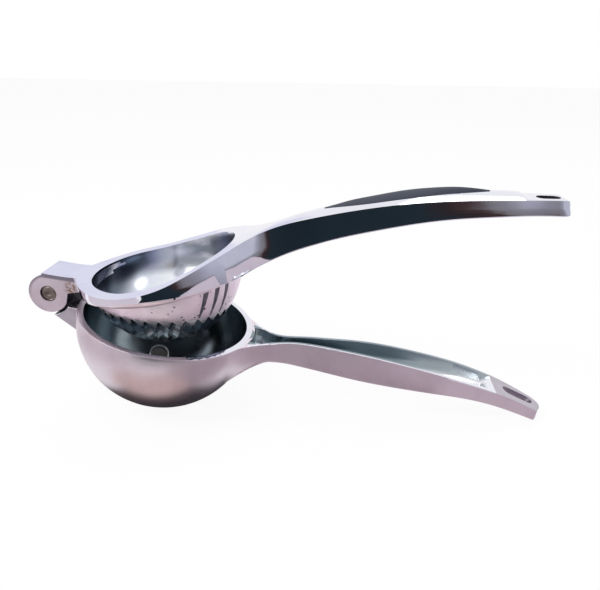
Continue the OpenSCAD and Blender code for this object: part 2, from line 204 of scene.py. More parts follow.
press = {
    "openingX": 1.1,
    "openingRadius": 28.7,
    "cupX": 0.6,
    "cupZ": 7.3,
    "cupRadius": 30.0,
    "cupInside": 28.4,
    "undersideZ": 2.9,
    "shoulder": 2.8,
    "edgeRound": 0.35,
    "neckX": -33.0,
    "neckRows": [0, 1.2, 2.4, 3.5, 5.6, 7.7],
    "rootX": 33.0,
    "tipX": 152.4,
    "tipCorner": 3.5,
    "tipRound": 2.2,
    "earRadius": 7.9,
    "slotRadius": 6.6,
    "earChamfer": 1.1,
    "deck": [(-46.3, 12.84), (-38, 10.18), (-30, 8.54), (-20, 7.73), (-10, 7.14), (0, 7.78),
             (10, 9.31), (20, 11.83), (32, 14.64), (44, 17.12), (56, 19.03), (70, 20.19),
             (85, 20.66), (100, 20.24), (115, 18.83), (130, 16.67), (142, 14.53), (152.4, 12.71)],
    "under": [(33, 3.01), (42, 4.88), (52, 7.4), (64, 9.9), (78, 11.53), (92, 12.42),
              (106, 12.6), (120, 11.7), (136, 9.74), (152.4, 6.76)],
    "half": [(33, 14.42), (37.8, 9.32), (42.4, 6.58), (47.5, 5.39), (53, 5.66), (60, 6.66),
             (72, 7.54), (88, 8.34), (104, 8.63), (118, 8.41), (130, 7.77), (141, 6.09),
             (152.4, 5.16)],
    "rimRadius": [(24, 35.08), (40, 33.79), (60, 34.34), (80, 35.24), (100, 34.31),
                  (120, 33.79), (145, 33.61), (168, 34.91)],
    "crease": [(-33, 3.6), (-25, 3.7), (-15, 4.5), (-5, 5.3), (5, 5.6), (12, 5.2), (20, 4.3),
               (29, 3.7), (38, 4.3)],
    "crown": [(33, 0), (50, 0.7), (66, 1.2), (85, 1.55), (110, 1.75), (136, 1.6)],
    "handleXs": [34.2, 35.6, 37, 38.6, 40.3, 42, 43.8, 45.6, 47.5, 49.5, 51.5, 53.5],
    "fluteTop": 67.4,
    "fluteTilt": 15.0,
    "fluteDepth": 1.6,
    "longFlutes": (31, 32, 33),
    "longDepth": 0.75,
}
deckZ = smoothCurve(press["deck"])
underZ = smoothCurve(press["under"])
pressHalf = smoothCurve(press["half"])
rimRadius = smoothCurve(press["rimRadius"])
creaseZ = smoothCurve(press["crease"])
crownZ = smoothCurve(press["crown"])
cupCentre = Vector((press["cupX"], 0, press["cupZ"]))
segments = 144
turnStep = 360 / segments


def signedStep(k):
    k = k % segments
    return k if k <= segments // 2 else k - segments


# The rim's outer edge seen from above, at one step round the opening
def rimSpot(k):
    k = signedStep(k)
    side = 1 if k >= 0 else -1
    turn = math.radians(abs(k) * turnStep)
    if abs(k) <= 10:
        share = math.tan(turn) / math.tan(math.radians(25))
        return press["rootX"], side * share * pressHalf(press["rootX"])
    if abs(k) >= 67:
        return press["neckX"], side * press["neckRows"][72 - abs(k)]
    radius = rimRadius(abs(k) * turnStep)
    return press["openingX"] + radius * math.cos(turn), side * radius * math.sin(turn)


def crownAt(x, share):
    step = 1 - ease(135.5, 138.5, x)
    return max(crownZ(x), 0) * step * (1 - share * share) if x > press["rootX"] else 0


def tipDrop(x):
    over = max(x - press["tipX"] + press["tipRound"], 0)
    return press["tipRound"] - math.sqrt(max(press["tipRound"] ** 2 - over ** 2, 0))


def tipHalf(x, half, reach, corner):
    over = min(max(x - reach + corner, 0), corner)
    return half - corner + math.sqrt(corner * corner - over * over)


# The roof over the tongue: its lower side, from above the pin down to the neck
def roofUnder(x):
    across = x - stand["pinX"]
    ring = math.sqrt(max(press["slotRadius"] ** 2 - across ** 2, 0)) + stand["pinZ"]
    slope = 8.69 - math.tan(math.radians(38)) * (x + 42.8)
    return max(3.2, slope, ring if across < press["slotRadius"] * 0.93 else 0)


def buildPressArm():
    bm = bmesh.new()
    idLayer = bm.verts.layers.int.new("id")
    # The deck: the ring round the cup, in four bands
    opening = bmesh.ops.create_circle(bm, cap_ends=False, segments=segments, radius=1)["verts"]
    insideSpots = []
    for k, vert in enumerate(opening):
        turn = math.radians(k * turnStep)
        x = press["openingX"] + press["openingRadius"] * math.cos(turn)
        y = press["openingRadius"] * math.sin(turn)
        insideSpots.append((x, y))
        vert.co = (x, y, deckZ(x))
    ringShares = [0, 0.25, 0.5, 0.75, 1]
    ringRows = [opening]
    for share in ringShares[1:]:
        spots = []
        for k in range(segments):
            (x0, y0), (x1, y1) = insideSpots[k], rimSpot(k)
            x = mix(x0, x1, share)
            spots.append((x, mix(y0, y1, share), deckZ(x)))
        ringRows.append(nextRow(bm, ringRows[-1], spots, closed=True))
    rim = ringRows[-1]
    # The handle's back
    root = [rim[k % segments] for k in range(-10, 11)]
    shares = [math.tan(math.radians(k * turnStep)) / math.tan(math.radians(25))
              for k in range(-10, 11)]
    tipX, corner = press["tipX"], press["tipCorner"]
    stations = list(press["handleXs"])
    while stations[-1] < 132:
        stations.append(stations[-1] + 2.2)
    stations += [134, 135.5, 136.3, 137, 137.7, 138.5, 140, 142, 144, 146, 147.5, tipX - corner]
    stations += [tipX - corner + corner * s for s in (0.25, 0.45, 0.62, 0.76, 0.87, 0.95, 1)]
    handleRows, row = [], root
    for x in stations:
        half = tipHalf(x, pressHalf(x), tipX, corner)
        spots = [(x, t * half, deckZ(x) + crownAt(x, t) - tipDrop(x)) for t in shares]
        row = nextRow(bm, row, spots)
        handleRows.append(row)
    # The neck and the roof over the tongue
    neckYs = press["neckRows"][:0:-1] + [0] + [-y for y in press["neckRows"][1:]]
    neckXs = [-34, -35, -35.8, -37.2, -38.46, -40.2, -41.6, -43.2, -44.8, -46.3]
    neckRows, row = [], [rim[k] for k in range(67, 78)]
    for x in neckXs:
        row = nextRow(bm, row, [(x, y, deckZ(x)) for y in neckYs])
        neckRows.append(row)
    # The outline, once round, starting at the root of the handle on the +Y side
    outline = [rim[k] for k in range(10, 68)] + [r[0] for r in neckRows]
    outline += neckRows[-1][1:-1] + [r[-1] for r in reversed(neckRows)]
    outline += [rim[k] for k in range(77, 135)] + [r[0] for r in handleRows]
    outline += handleRows[-1][1:-1] + [r[-1] for r in reversed(handleRows)]
    for number, vert in enumerate(bm.verts):
        vert[idLayer] = number
    spotsNow = [vert.co.copy() for vert in outline]
    count = len(outline)
    normals = []
    for i in range(count):
        along = spotsNow[(i + 1) % count] - spotsNow[i - 1]
        normals.append(Vector((along.y, -along.x, 0)).normalized())
    topFaces = list(bm.faces)
    # The lower side: a copy of the deck
    copied = bmesh.ops.duplicate(bm, geom=list(bm.verts) + list(bm.edges) + topFaces)["geom"]
    lower = {v[idLayer]: v for v in copied if isinstance(v, bmesh.types.BMVert)}

    def under(vert):
        return lower[vert[idLayer]]

    def lowZ(x):
        if x < press["neckX"] + 0.01:
            return roofUnder(x) if x < -35.7 else 3.2
        return press["undersideZ"] if x <= press["rootX"] else underZ(x)

    def shoulderAt(x):
        if x < press["neckX"] + 0.01:
            return 0
        return mix(press["shoulder"], 0.5, ease(27, 44, x))

    def wallEnd(x):
        if x < press["neckX"] + 0.01:
            return lowZ(x) + 0.3
        return mix(creaseZ(min(x, 38)), underZ(x) + 0.5, ease(31, 40, x))

    row = outline
    bevelRow = None
    for turn in (0, 0.5, 22.5, 45, 67.5, 90):
        spots = []
        for spot, normal in zip(spotsNow, normals):
            x, shift = spot.x, shoulderAt(spot.x)
            if turn == 0:
                z, inset = mix(spot.z, wallEnd(x), 0.5), 0
            else:
                a = math.radians(turn if turn > 1 else 0)
                inset = shift * (1 - math.cos(a))
                z = mix(lowZ(x), wallEnd(x), 1 - math.sin(a))
            spots.append((x - normal.x * inset, spot.y - normal.y * inset, z))
        row = nextRow(bm, row, spots, closed=True)
    lastSpots = {outline[i][idLayer]: row[i].co.copy() for i in range(count)}
    # Places of the lower side
    for share, ring in zip(ringShares, ringRows):
        for k, vert in enumerate(ring):
            turn = math.radians(k * turnStep)
            reach = math.sqrt(press["cupRadius"] ** 2 - (press["cupZ"] - press["undersideZ"]) ** 2)
            x0, y0 = press["cupX"] + reach * math.cos(turn), reach * math.sin(turn)
            x1, y1 = rimSpot(k)
            edge = lastSpots.get(rim[k][idLayer], Vector((x1, y1, lowZ(x1))))
            z0 = press["undersideZ"]
            under(vert).co = (mix(x0, edge.x, share), mix(y0, edge.y, share), mix(z0, edge.z, share))
    for x, line in list(zip(stations, handleRows)) + list(zip(neckXs, neckRows)):
        for vert in line:
            spot = vert.co
            under(vert).co = (spot.x, spot.y, lowZ(x))
    weld = {under(outline[i]): row[i] for i in range(count)}
    bmesh.ops.weld_verts(bm, targetmap=weld)
    lower = {**lower, **{outline[i][idLayer]: row[i] for i in range(count)}}
    # The channel under the handle
    lines = [(33.0, root)] + list(zip(stations, handleRows))
    channel = []
    for (xa, la), (xb, lb) in zip(lines, lines[1:]):
        if 38 < xa and xb < 134.5:
            for c in range(3, 17):
                quad = [under(la[c]), under(la[c + 1]), under(lb[c + 1]), under(lb[c])]
                channel.append(bm.faces.get(quad))
    deep, _ = pushFaces(bm, [face for face in channel if face])
    for vert in deep:
        vert.co.z = deckZ(vert.co.x) - 2.6
        vert.co.x = min(max(vert.co.x, 41.5), 132)
    # The ears
    lines = list(zip(neckXs, neckRows))
    earFaces = []
    for (xa, la), (xb, lb) in zip(lines, lines[1:]):
        if xa < -35.7:
            for c in (0, 1, 8, 9):
                quad = [under(la[c]), under(la[c + 1]), under(lb[c + 1]), under(lb[c])]
                earFaces.append(bm.faces.get(quad))
    hanging, _ = pushFaces(bm, [face for face in earFaces if face])
    for vert in hanging:
        across = vert.co.x - stand["pinX"]
        drop = math.sqrt(max(press["earRadius"] ** 2 - across ** 2, 0))
        vert.co.z = min(3.2, stand["pinZ"] - drop)
    bm.normal_update()
    end = stand["pinX"]
    ends = [f for f in bm.faces if all(abs(v.co.x - end) < 0.001 and abs(v.co.y) > 3.49
                                       for v in f.verts)]
    heights = None
    for turn in (1.5, 9, 18, 27, 36, 45, 54, 63, 72, 81, 90):
        verts, ends = pushFaces(bm, ends)
        a = math.radians(turn)
        if heights is None:
            startZ = {v: min(v.co.z, stand["pinZ"] + press["earRadius"]) for v in verts}
            layer = {round(v.co.z, 3): z for v, z in startZ.items()}
            heights = layer
            current = {v: heights[round(v.co.z, 3)] for v in verts}
        else:
            current = {v: previous[round(v.co.z, 4)] for v in verts}
        previous = {}
        for v, z in current.items():
            v.co.x = end - press["earRadius"] * math.sin(a)
            v.co.z = stand["pinZ"] + (z - stand["pinZ"]) * math.cos(a)
            previous[round(v.co.z, 4)] = z
    # The cup, outside
    cupRow = [under(v) for v in opening]
    tiltTurn = Matrix.Rotation(math.radians(press["fluteTilt"]), 3, "Y")

    def fluteSpot(m, polar, width, depth, lean=0.0):
        place = (-1, max(lean - width, -0.95), lean, min(lean + width, 0.95))[m % 4]
        turn = math.radians(10 * (m // 4) + 5 + 5 * place)
        fall = math.radians(polar)
        radius = press["cupRadius"] - (depth if m % 4 == 2 else 0)
        out = Vector((math.sin(fall) * math.cos(turn), math.sin(fall) * math.sin(turn),
                      -math.cos(fall)))
        return cupCentre + radius * (tiltTurn @ out)

    startSpots = [v.co.copy() for v in cupRow]
    for share in (0.12, 0.3, 0.5, 0.75, 1):
        spots = []
        for m in range(segments):
            a = (startSpots[m] - cupCentre).normalized()
            long = m // 4 in press["longFlutes"] and m % 4 == 2
            slim = 0.16 if m // 4 in press["longFlutes"] else 0.3
            b = (fluteSpot(m, press["fluteTop"], slim, 0, -0.5) - cupCentre).normalized()
            sunk = press["longDepth"] * ease(0.1, 0.4, share) if long else 0
            spots.append(cupCentre + (press["cupRadius"] - sunk) * a.lerp(b, share).normalized())
        cupRow = nextRow(bm, cupRow, spots, closed=True)
    rings = [(67.2, 0.05, 0.02, -0.62), (66.1, 0.22, 0.45, -0.6), (64.8, 0.38, 0.85, -0.5),
             (63.1, 0.58, 1.2, -0.35), (61.2, 0.78, 1.45, -0.18), (59.0, 0.92, 1.6, 0)]
    rings += [(polar, 0.93, press["fluteDepth"] * min((polar - 22) / 26, 1), 0)
              for polar in (56, 53, 49, 45, 41, 37, 33, 29, 26)]
    rings += [(23.5, 0.8, 0.05, 0), (21, 0.5, 0, 0), (17, 0.5, 0, 0), (12, 0.5, 0, 0),
              (7, 0.5, 0, 0), (3, 0.5, 0, 0)]
    for polar, width, depth, lean in rings:
        spots = [fluteSpot(m, polar, width, depth, lean) for m in range(segments)]
        cupRow = nextRow(bm, cupRow, spots, closed=True)
    pole = fluteSpot(0, 0, 0, 0)
    cupRow = nextRow(bm, cupRow, [pole] * segments, closed=True)
    # The cup, inside
    row = opening
    for share in (0.3, 0.65, 1):
        spots = []
        for k, (x, y) in enumerate(insideSpots):
            turn = math.radians(k * turnStep)
            x1, y1 = press["cupX"] + 28.32 * math.cos(turn), 28.32 * math.sin(turn)
            spots.append((mix(x, x1, share), mix(y, y1, share), mix(deckZ(x), 5.2, share)))
        row = nextRow(bm, row, spots, closed=True)
    for polar in [83 - 4 * i for i in range(20)] + [4]:
        fall = math.radians(polar)
        radius = mix(press["cupInside"] - 0.5, press["cupInside"], ease(50, 80, polar))
        spots = []
        for k in range(segments):
            turn = math.radians(k * turnStep)
            spots.append(cupCentre + radius * Vector((math.sin(fall) * math.cos(turn),
                                                      math.sin(fall) * math.sin(turn),
                                                      -math.cos(fall))))
        row = nextRow(bm, row, spots, closed=True)
    centre = cupCentre - Vector((0, 0, press["cupInside"] - 0.5))
    nextRow(bm, row, [centre] * segments, closed=True)
    bmesh.ops.remove_doubles(bm, verts=bm.verts, dist=0.0005)
    # Edges: a wide chamfer round the ears and the roof, fine rounding elsewhere
    neckEdge = []
    for edge in bm.edges:
        a, b = edge.verts
        if len(edge.link_faces) != 2 or edge.calc_face_angle(0) < math.radians(50):
            continue
        if all(abs(abs(v.co.y) - 7.7) < 0.001 and v.co.x < -33.9 for v in (a, b)):
            if (a.co.z + b.co.z) / 2 > 4 or (a.co.x + b.co.x) / 2 < -50:
                neckEdge.append(edge)
    roundEdges(bm, neckEdge, press["earChamfer"], segments=2)
    fine = []
    for edge in bm.edges:
        if len(edge.link_faces) != 2 or edge.calc_face_angle(0) < math.radians(40):
            continue
        mid = (edge.verts[0].co + edge.verts[1].co) / 2
        if mid.x < -33.5 or mid.z < 3.3 or (mid - cupCentre).length < 28.2:
            continue
        if abs(mid.z - deckZ(mid.x) + tipDrop(mid.x)) < 0.06 or mid.x > press["tipX"] - 0.01:
            fine.append(edge)
    roundEdges(bm, fine, press["edgeRound"], segments=3)
    # Finishes: 0 polished, 1 as cast, 2 inside of the cup with a painted reflection, 3 satin,
    # 4 teeth as painted highlight, 5 flutes, 6 the long flutes and 7 the ears' chamfer, all three as
    # painted shade
    bm.normal_update()
    tiltBack = tiltTurn.inverted()
    for face in bm.faces:
        spot = face.calc_center_median()
        out = spot - cupCentre
        polar = math.degrees((tiltBack @ out).angle(Vector((0, 0, -1))))
        across = math.hypot(spot.x - press["openingX"], spot.y)
        radial = spot.x > -31 and spot.z < 2.88 and out.length > 28
        if across < 28.72 and out.length < 29.3 and spot.z < deckZ(spot.x) - 0.25:
            face.material_index = 2
        elif radial and polar > 67.3:
            face.material_index = 6 if out.length < 29.86 else 1
        elif radial and 61 < polar <= 67.3 and out.length > 29.8:
            face.material_index = 4
        elif radial and polar > 22:
            face.material_index = 5
        elif -32.5 < spot.x < 30 and spot.z < creaseZ(spot.x) - 0.1 and across > 29.5:
            face.material_index = 1
        elif spot.x < -34.3 and abs(face.normal.y) > 0.85 and spot.z > 2:
            face.material_index = 3
        elif spot.x < -37 and abs(spot.y) > 7.65:
            face.material_index = 3
        elif spot.x < -33.9 and abs(spot.y) > 6.6 and 0.25 < abs(face.normal.y) < 0.96:
            face.material_index = 7
    return bm


bm = buildPressArm()
pressArm = makePiece(bm, "pressArm", pressPlace)
print("press arm:", len(pressArm.data.vertices), "vertices")


def stadium(bm, x, length, width, low, high):
    points = []
    for end in (1, -1):
        for i in range(13):
            a = math.radians(-90 + 15 * i) if end > 0 else math.radians(90 + 15 * i)
            cx = x + end * (length - width) / 2
            points.append((cx + width / 2 * math.cos(a), width / 2 * math.sin(a)))
    base = [bm.verts.new((px, py, low)) for px, py in points]
    face = bm.faces.new(base)
    verts, pushed = pushFaces(bm, [face], keep=True)
    for vert in verts:
        vert.co.z = high


# Hanging slots and pin bore
hangs = {
    "pressX": 145.55, "pressLength": 8.6, "pressWidth": 5.2, "pressLift": 10.9,
    "bowlX": 146.2, "bowlLength": 13.4, "bowlWidth": 5.4, "boreRadius": 3.3,
}


def hangCutter(name, x, length, width, back, place, finish):
    bm = bmesh.new()
    stadium(bm, 0, length, width, -20, 20)
    for face in bm.faces:
        face.material_index = finish
    lean = math.atan2(back(x) - back(x + 1), 1)
    bmesh.ops.transform(bm, matrix=Matrix.Translation((x, 0, back(x)))
                        @ Matrix.Rotation(lean, 4, "Y"), verts=bm.verts)
    return makePiece(bm, name, place)


# The slot's walls take finish 6, painted shade
cutWith(pressArm, hangCutter("pressHang", hangs["pressX"], hangs["pressLength"],
                             hangs["pressWidth"], deckZ, pressPlace, 6))
bm = bmesh.new()
bmesh.ops.create_cone(bm, cap_ends=True, segments=64, radius1=hangs["boreRadius"],
                      radius2=hangs["boreRadius"], depth=30,
                      matrix=Matrix.Translation(pinSpot) @ Matrix.Rotation(math.pi / 2, 4, "X"))
cutWith(pressArm, makePiece(bm, "pinBore", pressPlace))
shadePiece(pressArm, 32)


# ---- bowl arm --------------------------------------------------------------------

bowl = {
    "radius": 35.0,
    "inside": 32.6,
    "rimZ": 2.4,
    "lip": 0.5,
    "windowSteps": 11,
    "windowLow": -28.0,
    "blendX": 44.0,
    "pullOut": 14.0,
    "pullIn": 10.0,
    "flat": 0.88,
    "top": [(35, 2.37), (44, 2.67), (54, 4.56), (66, 6.11), (80, 7.33), (95, 7.7), (110, 7.24),
            (125, 6.06), (140, 3.59), (154, -0.37)],
    "half": [(38, 8.0), (42, 5.98), (46, 4.45), (51, 3.71), (57, 4.05), (66, 5.01), (78, 6.58),
             (92, 7.65), (108, 8.33), (122, 8.49), (138, 7.19), (154, 5.9)],
    "under": [(42, -6.11), (52, -5.61), (66, -5.11), (80, -4.52), (95, -3.5), (110, -2.1),
              (124, -0.98), (138, -1.93), (154, -4.93)],
    "ridgeX": 135.0,
    "endX": 153.3,
    "endBulge": 2.7,
    "wall": 1.7,
    "floor": 2.6,
    "drain": 7.6,
    "drainAngle": 35.0,
}
topZ = smoothCurve(bowl["top"])
bowlHalf = smoothCurve(bowl["half"])
bowlUnder = smoothCurve(bowl["under"])


def buildBowlArm():
    bm = bmesh.new()
    rowLayer = bm.verts.layers.int.new("row")
    colLayer = bm.verts.layers.int.new("col")
    radius = bowl["radius"]
    rimTurn = math.degrees(math.asin(bowl["rimZ"] / radius))

    def sphereSpot(k, lift, r):
        turn, up = math.radians(k * turnStep), math.radians(lift)
        return Vector((r * math.cos(up) * math.cos(turn), r * math.cos(up) * math.sin(turn),
                       r * math.sin(up)))

    rim = bmesh.ops.create_circle(bm, cap_ends=False, segments=segments, radius=1)["verts"]
    for k, vert in enumerate(rim):
        vert.co = sphereSpot(k, rimTurn, radius)
    windowRows = 12
    lifts = [mix(rimTurn, bowl["windowLow"], i / windowRows) for i in range(1, windowRows + 1)]
    lifts += [mix(bowl["windowLow"], -90, i / 20) for i in range(1, 20)]
    rows = [rim]
    for lift in lifts:
        spots = [sphereSpot(k, lift, radius) for k in range(segments)]
        rows.append(nextRow(bm, rows[-1], spots, closed=True))
    nextRow(bm, rows[-1], [sphereSpot(0, -90, radius)] * segments, closed=True)
    # The inside of the bowl
    inside = bowl["inside"]
    flatRadius = math.sqrt(inside ** 2 - bowl["rimZ"] ** 2)
    row = rim
    spots = [Vector((flatRadius * math.cos(math.radians(k * turnStep)),
                     flatRadius * math.sin(math.radians(k * turnStep)), bowl["rimZ"]))
             for k in range(segments)]
    row = nextRow(bm, row, spots, closed=True)
    insideTurn = math.degrees(math.asin(bowl["rimZ"] / inside))
    for i in range(1, 30):
        lift = mix(insideTurn, -90, i / 30)
        row = nextRow(bm, row, [sphereSpot(k, lift, inside) for k in range(segments)], closed=True)
    nextRow(bm, row, [sphereSpot(0, -90, inside)] * segments, closed=True)
    # Opens a window for the handle
    w = bowl["windowSteps"]
    window = []
    for r in range(windowRows):
        for k in range(-w, w):
            quad = [rows[r][k], rows[r][k + 1], rows[r + 1][k + 1], rows[r + 1][k]]
            window.append(bm.faces.get(quad))
    bmesh.ops.delete(bm, geom=window, context="FACES")
    loop = [rows[r][-w] for r in range(windowRows)] + [rows[windowRows][k] for k in range(-w, w + 1)]
    loop += [rows[r][w] for r in range(windowRows - 1, -1, -1)]
    count = len(loop)

    def sectionSpot(j, x, half, top, under):
        place = 2 * j / (count - 1) - 1
        share = abs(place)
        flat, side = bowl["flat"] * half, mix(under, top, 0.6)
        if share > 0.72:
            y, z = half, mix(side, top, (share - 0.72) / 0.28)
        elif share > 0.36:
            turn = math.radians(90 * (share - 0.36) / 0.36)
            y = flat + (half - flat) * math.sin(turn)
            z = side - (side - under) * math.cos(turn)
        else:
            y, z = flat * share / 0.36, under
        return Vector((x, math.copysign(y, place), z))

    def endShift(x, share):
        return bowl["endBulge"] * ease(140, bowl["endX"], x) ** 2 * (1 - share * share)

    # The blend from the bowl to the handle
    starts = [v.co.copy() for v in loop]
    pulls = []
    for j, spot in enumerate(starts):
        out = spot.normalized()
        east = Vector((-spot.y, spot.x, 0)).normalized()
        north = out.cross(east)
        side = -1 if j < count // 2 else 1
        edgeShare = ease(windowRows - 3, windowRows + 3, min(j, count - 1 - j))
        sideways = -east * side
        pull = sideways * (1 - edgeShare) + north * edgeShare
        pulls.append(pull.normalized() * bowl["pullOut"])
    x1 = bowl["blendX"]
    ends, arrives = [], []
    for j in range(count):
        here = sectionSpot(j, x1, bowlHalf(x1), topZ(x1), bowlUnder(x1))
        there = sectionSpot(j, x1 + 1, bowlHalf(x1 + 1), topZ(x1 + 1), bowlUnder(x1 + 1))
        ends.append(here)
        arrives.append((there - here) * bowl["pullIn"])
    row, blendRows = loop, 8
    sideRows = [loop]
    for i in range(1, blendRows + 1):
        s = i / blendRows
        spots = []
        for p0, t0, p1, t1 in zip(starts, pulls, ends, arrives):
            spots.append(p0 * (2 * s ** 3 - 3 * s * s + 1) + t0 * (s ** 3 - 2 * s * s + s)
                         + p1 * (3 * s * s - 2 * s ** 3) + t1 * (s ** 3 - s * s))
        row = nextRow(bm, row, spots)
        sideRows.append(row)
    stations = [46, 48, 50]
    while stations[-1] < 132:
        stations.append(stations[-1] + 2.3)
    stations += [bowl["ridgeX"], bowl["ridgeX"] + 1, 138, 140, 142, 144, 146, 148, 150, 151.5, 152.5,
                 bowl["endX"]]
    for x in stations:
        spots = []
        for j in range(count):
            spot = sectionSpot(j, x, bowlHalf(x), topZ(x), bowlUnder(x))
            spot.x += endShift(x, spot.y / bowlHalf(x))
            spots.append(spot)
        row = nextRow(bm, row, spots)
        sideRows.append(row)
    # The upper side: walls beside the channel, in columns across
    columns = 2 * w
    edge, farEdge = 3, columns - 3

    def channelHalf(x, half):
        rootLimit = 6.7 * ease(33.5, 36.5, x) if x < 44 else 99
        return min(max(half - bowl["wall"], half * 0.5), max(rootLimit, 5.4))

    upperRows = [[rows[0][k] for k in range(-w, w + 1)]]
    row = upperRows[0]
    for i, side in enumerate(sideRows[1:], start=1):
        a, b = side[0].co.copy(), side[-1].co.copy()
        half = abs(b.y)
        if i <= blendRows:
            middle = mix(radius * math.cos(math.radians(rimTurn)), x1, i / blendRows)
        else:
            middle = a.x + endShift(a.x, 0)
        inner = channelHalf(middle, half)
        spots = []
        for c in range(columns + 1):
            if c <= edge:
                y = mix(half, inner, c / edge)
            elif c >= farEdge:
                y = -mix(inner, half, (c - farEdge) / (columns - farEdge))
            else:
                y = inner * (1 - 2 * (c - edge) / (farEdge - edge))
            share = y / half
            if i <= blendRows:
                x = a.x + (middle - a.x) * (1 - share * share)
            else:
                x = a.x + endShift(a.x, share)
            spots.append(Vector((x, -y, a.z)))
        row = nextRow(bm, row, spots)
        upperRows.append(row)
    for i, line in enumerate(upperRows):
        for c, vert in enumerate(line):
            vert[rowLayer], vert[colLayer] = i, c
    seam = {v for line in upperRows + sideRows for v in (line[0], line[-1])}
    bmesh.ops.remove_doubles(bm, verts=list(seam), dist=0.0005)
    # The channel
    lastRow = blendRows + 1 + stations.index(bowl["ridgeX"])
    channel = []
    for face in bm.faces:
        rowsHere = [v[rowLayer] for v in face.verts]
        colsHere = [v[colLayer] for v in face.verts]
        if len(face.verts) == 4 and min(rowsHere) >= 1 and max(rowsHere) <= lastRow:
            if min(colsHere) >= edge and max(colsHere) <= farEdge:
                if face.calc_center_median().z > 1 and max(rowsHere) - min(rowsHere) == 1:
                    channel.append(face)
    deep, _ = pushFaces(bm, channel)
    for face in {face for vert in deep for face in vert.link_faces}:
        face.material_index = 2
    for vert in deep:
        i, c = vert[rowLayer], vert[colLayer]
        share = 2 * (c - edge) / (farEdge - edge) - 1
        x, top = vert.co.x, vert.co.z
        low = bowlUnder(max(x, 42)) + bowl["floor"]
        bottom = mix(low, top - 1.2, ease(20, 0, 0) * 0)
        depth = top - bottom
        vert.co.z = top - depth * (0.45 + 0.55 * (1 - abs(share) ** 2.6))
        vert.co.y *= 0.93
        if i == 1:
            vert.co.x += 0.8
        if i == lastRow:
            vert.co.x -= 3.2
            vert.co.z += 0.8
        if i == lastRow - 1:
            vert.co.x -= 1.6
    # The end of the handle
    border = [e for e in bm.edges if e.is_boundary and min(v.co.x for v in e.verts) > 150]
    bmesh.ops.triangle_fill(bm, edges=border, use_beauty=True, use_dissolve=False)
    # Rounded edges: the rim, the handle's upper edges and the channel's mouth
    bm.normal_update()
    lips = []
    for e in bm.edges:
        if len(e.link_faces) != 2 or e.calc_face_angle(0) < math.radians(38):
            continue
        mid = (e.verts[0].co + e.verts[1].co) / 2
        if mid.z > -6 and (mid.z > 2.2 or mid.x > 36):
            lips.append(e)
    roundEdges(bm, lips, 0.32, segments=3)
    # Finishes: 0 as cast, 1 inside as painted shade, 2 channel as painted shade with a painted highlight,
    # 3 countersinks as painted highlight, 4 polished upper edges, 5 tab in a darker satin
    for face in bm.faces:
        spot = face.calc_center_median()
        flat = math.hypot(spot.x, spot.y)
        if spot.length < 33.6 and spot.z < bowl["rimZ"] - 0.2:
            face.material_index = 1
        elif flat < 35.2 and spot.z > bowl["rimZ"] - 0.25:
            face.material_index = 1 if flat < 33.5 else 4 if spot.x > 16 else 0
        elif spot.x > bowl["ridgeX"] - 0.5 and spot.z > topZ(spot.x) - 0.15:
            face.material_index = 5
        elif 35.2 < spot.x < bowl["ridgeX"] - 0.5 and spot.z > topZ(spot.x) - 0.3:
            face.material_index = 4 if bowlHalf(spot.x) - abs(spot.y) < 0.7 else 2
    return bm


bm = buildBowlArm()
bowlArm = makePiece(bm, "bowlArm", bowlPlace)
print("bowl arm:", len(bowlArm.data.vertices), "vertices")

# The slot's walls take finish 5, the darker satin, as painted shade
cutWith(bowlArm, hangCutter("bowlHang", hangs["bowlX"], hangs["bowlLength"], hangs["bowlWidth"],
                            topZ, bowlPlace, 5))


def drainCutter(turn, lean):
    bm = bmesh.new()
    inner = math.sqrt(bowl["inside"] ** 2 - (bowl["drain"] / 2) ** 2)
    bmesh.ops.create_circle(bm, cap_ends=True, segments=48, radius=bowl["drain"] / 2 + 1.4)
    face = list(bm.faces)
    for step, z in enumerate((1.75, 6)):
        verts, face = pushFaces(bm, face, keep=step == 0)
        for vert in verts:
            vert.co.z = z
            if z == 1.75:
                flat = Vector((vert.co.x, vert.co.y, 0)).normalized() * (bowl["drain"] / 2)
                vert.co.x, vert.co.y = flat.x, flat.y
    bmesh.ops.translate(bm, vec=(0, 0, inner - 1.15), verts=bm.verts)
    # Countersinks take finish 3, painted highlight; the holes' walls finish 1, painted shade
    for face in bm.faces:
        middle = face.calc_center_median()
        face.material_index = 3 if 0.1 < middle.z - inner + 1.15 < 1.7 else 1
    spin = Matrix.Rotation(math.radians(turn), 4, "Z") @ Matrix.Rotation(math.radians(180 - lean), 4, "Y")
    bmesh.ops.transform(bm, matrix=spin, verts=bm.verts)
    return makePiece(bm, "drainCutter", bowlPlace)


for turn, lean in [(0, 0)] + [(36 + 72 * i, bowl["drainAngle"]) for i in range(5)]:
    cutWith(bowlArm, drainCutter(turn, lean))
shadePiece(bowlArm, 32)

# The lug that carries the hinge, and its tongue
lug = {
    "width": 15.4, "topZ": 0.3, "shoulder": 9.0, "shoulderLow": -72, "reach": 32.9,
    "slope": 27.0, "tongueWidth": 6.6, "tongueRadius": 6.0, "tongueTurn": -38,
}


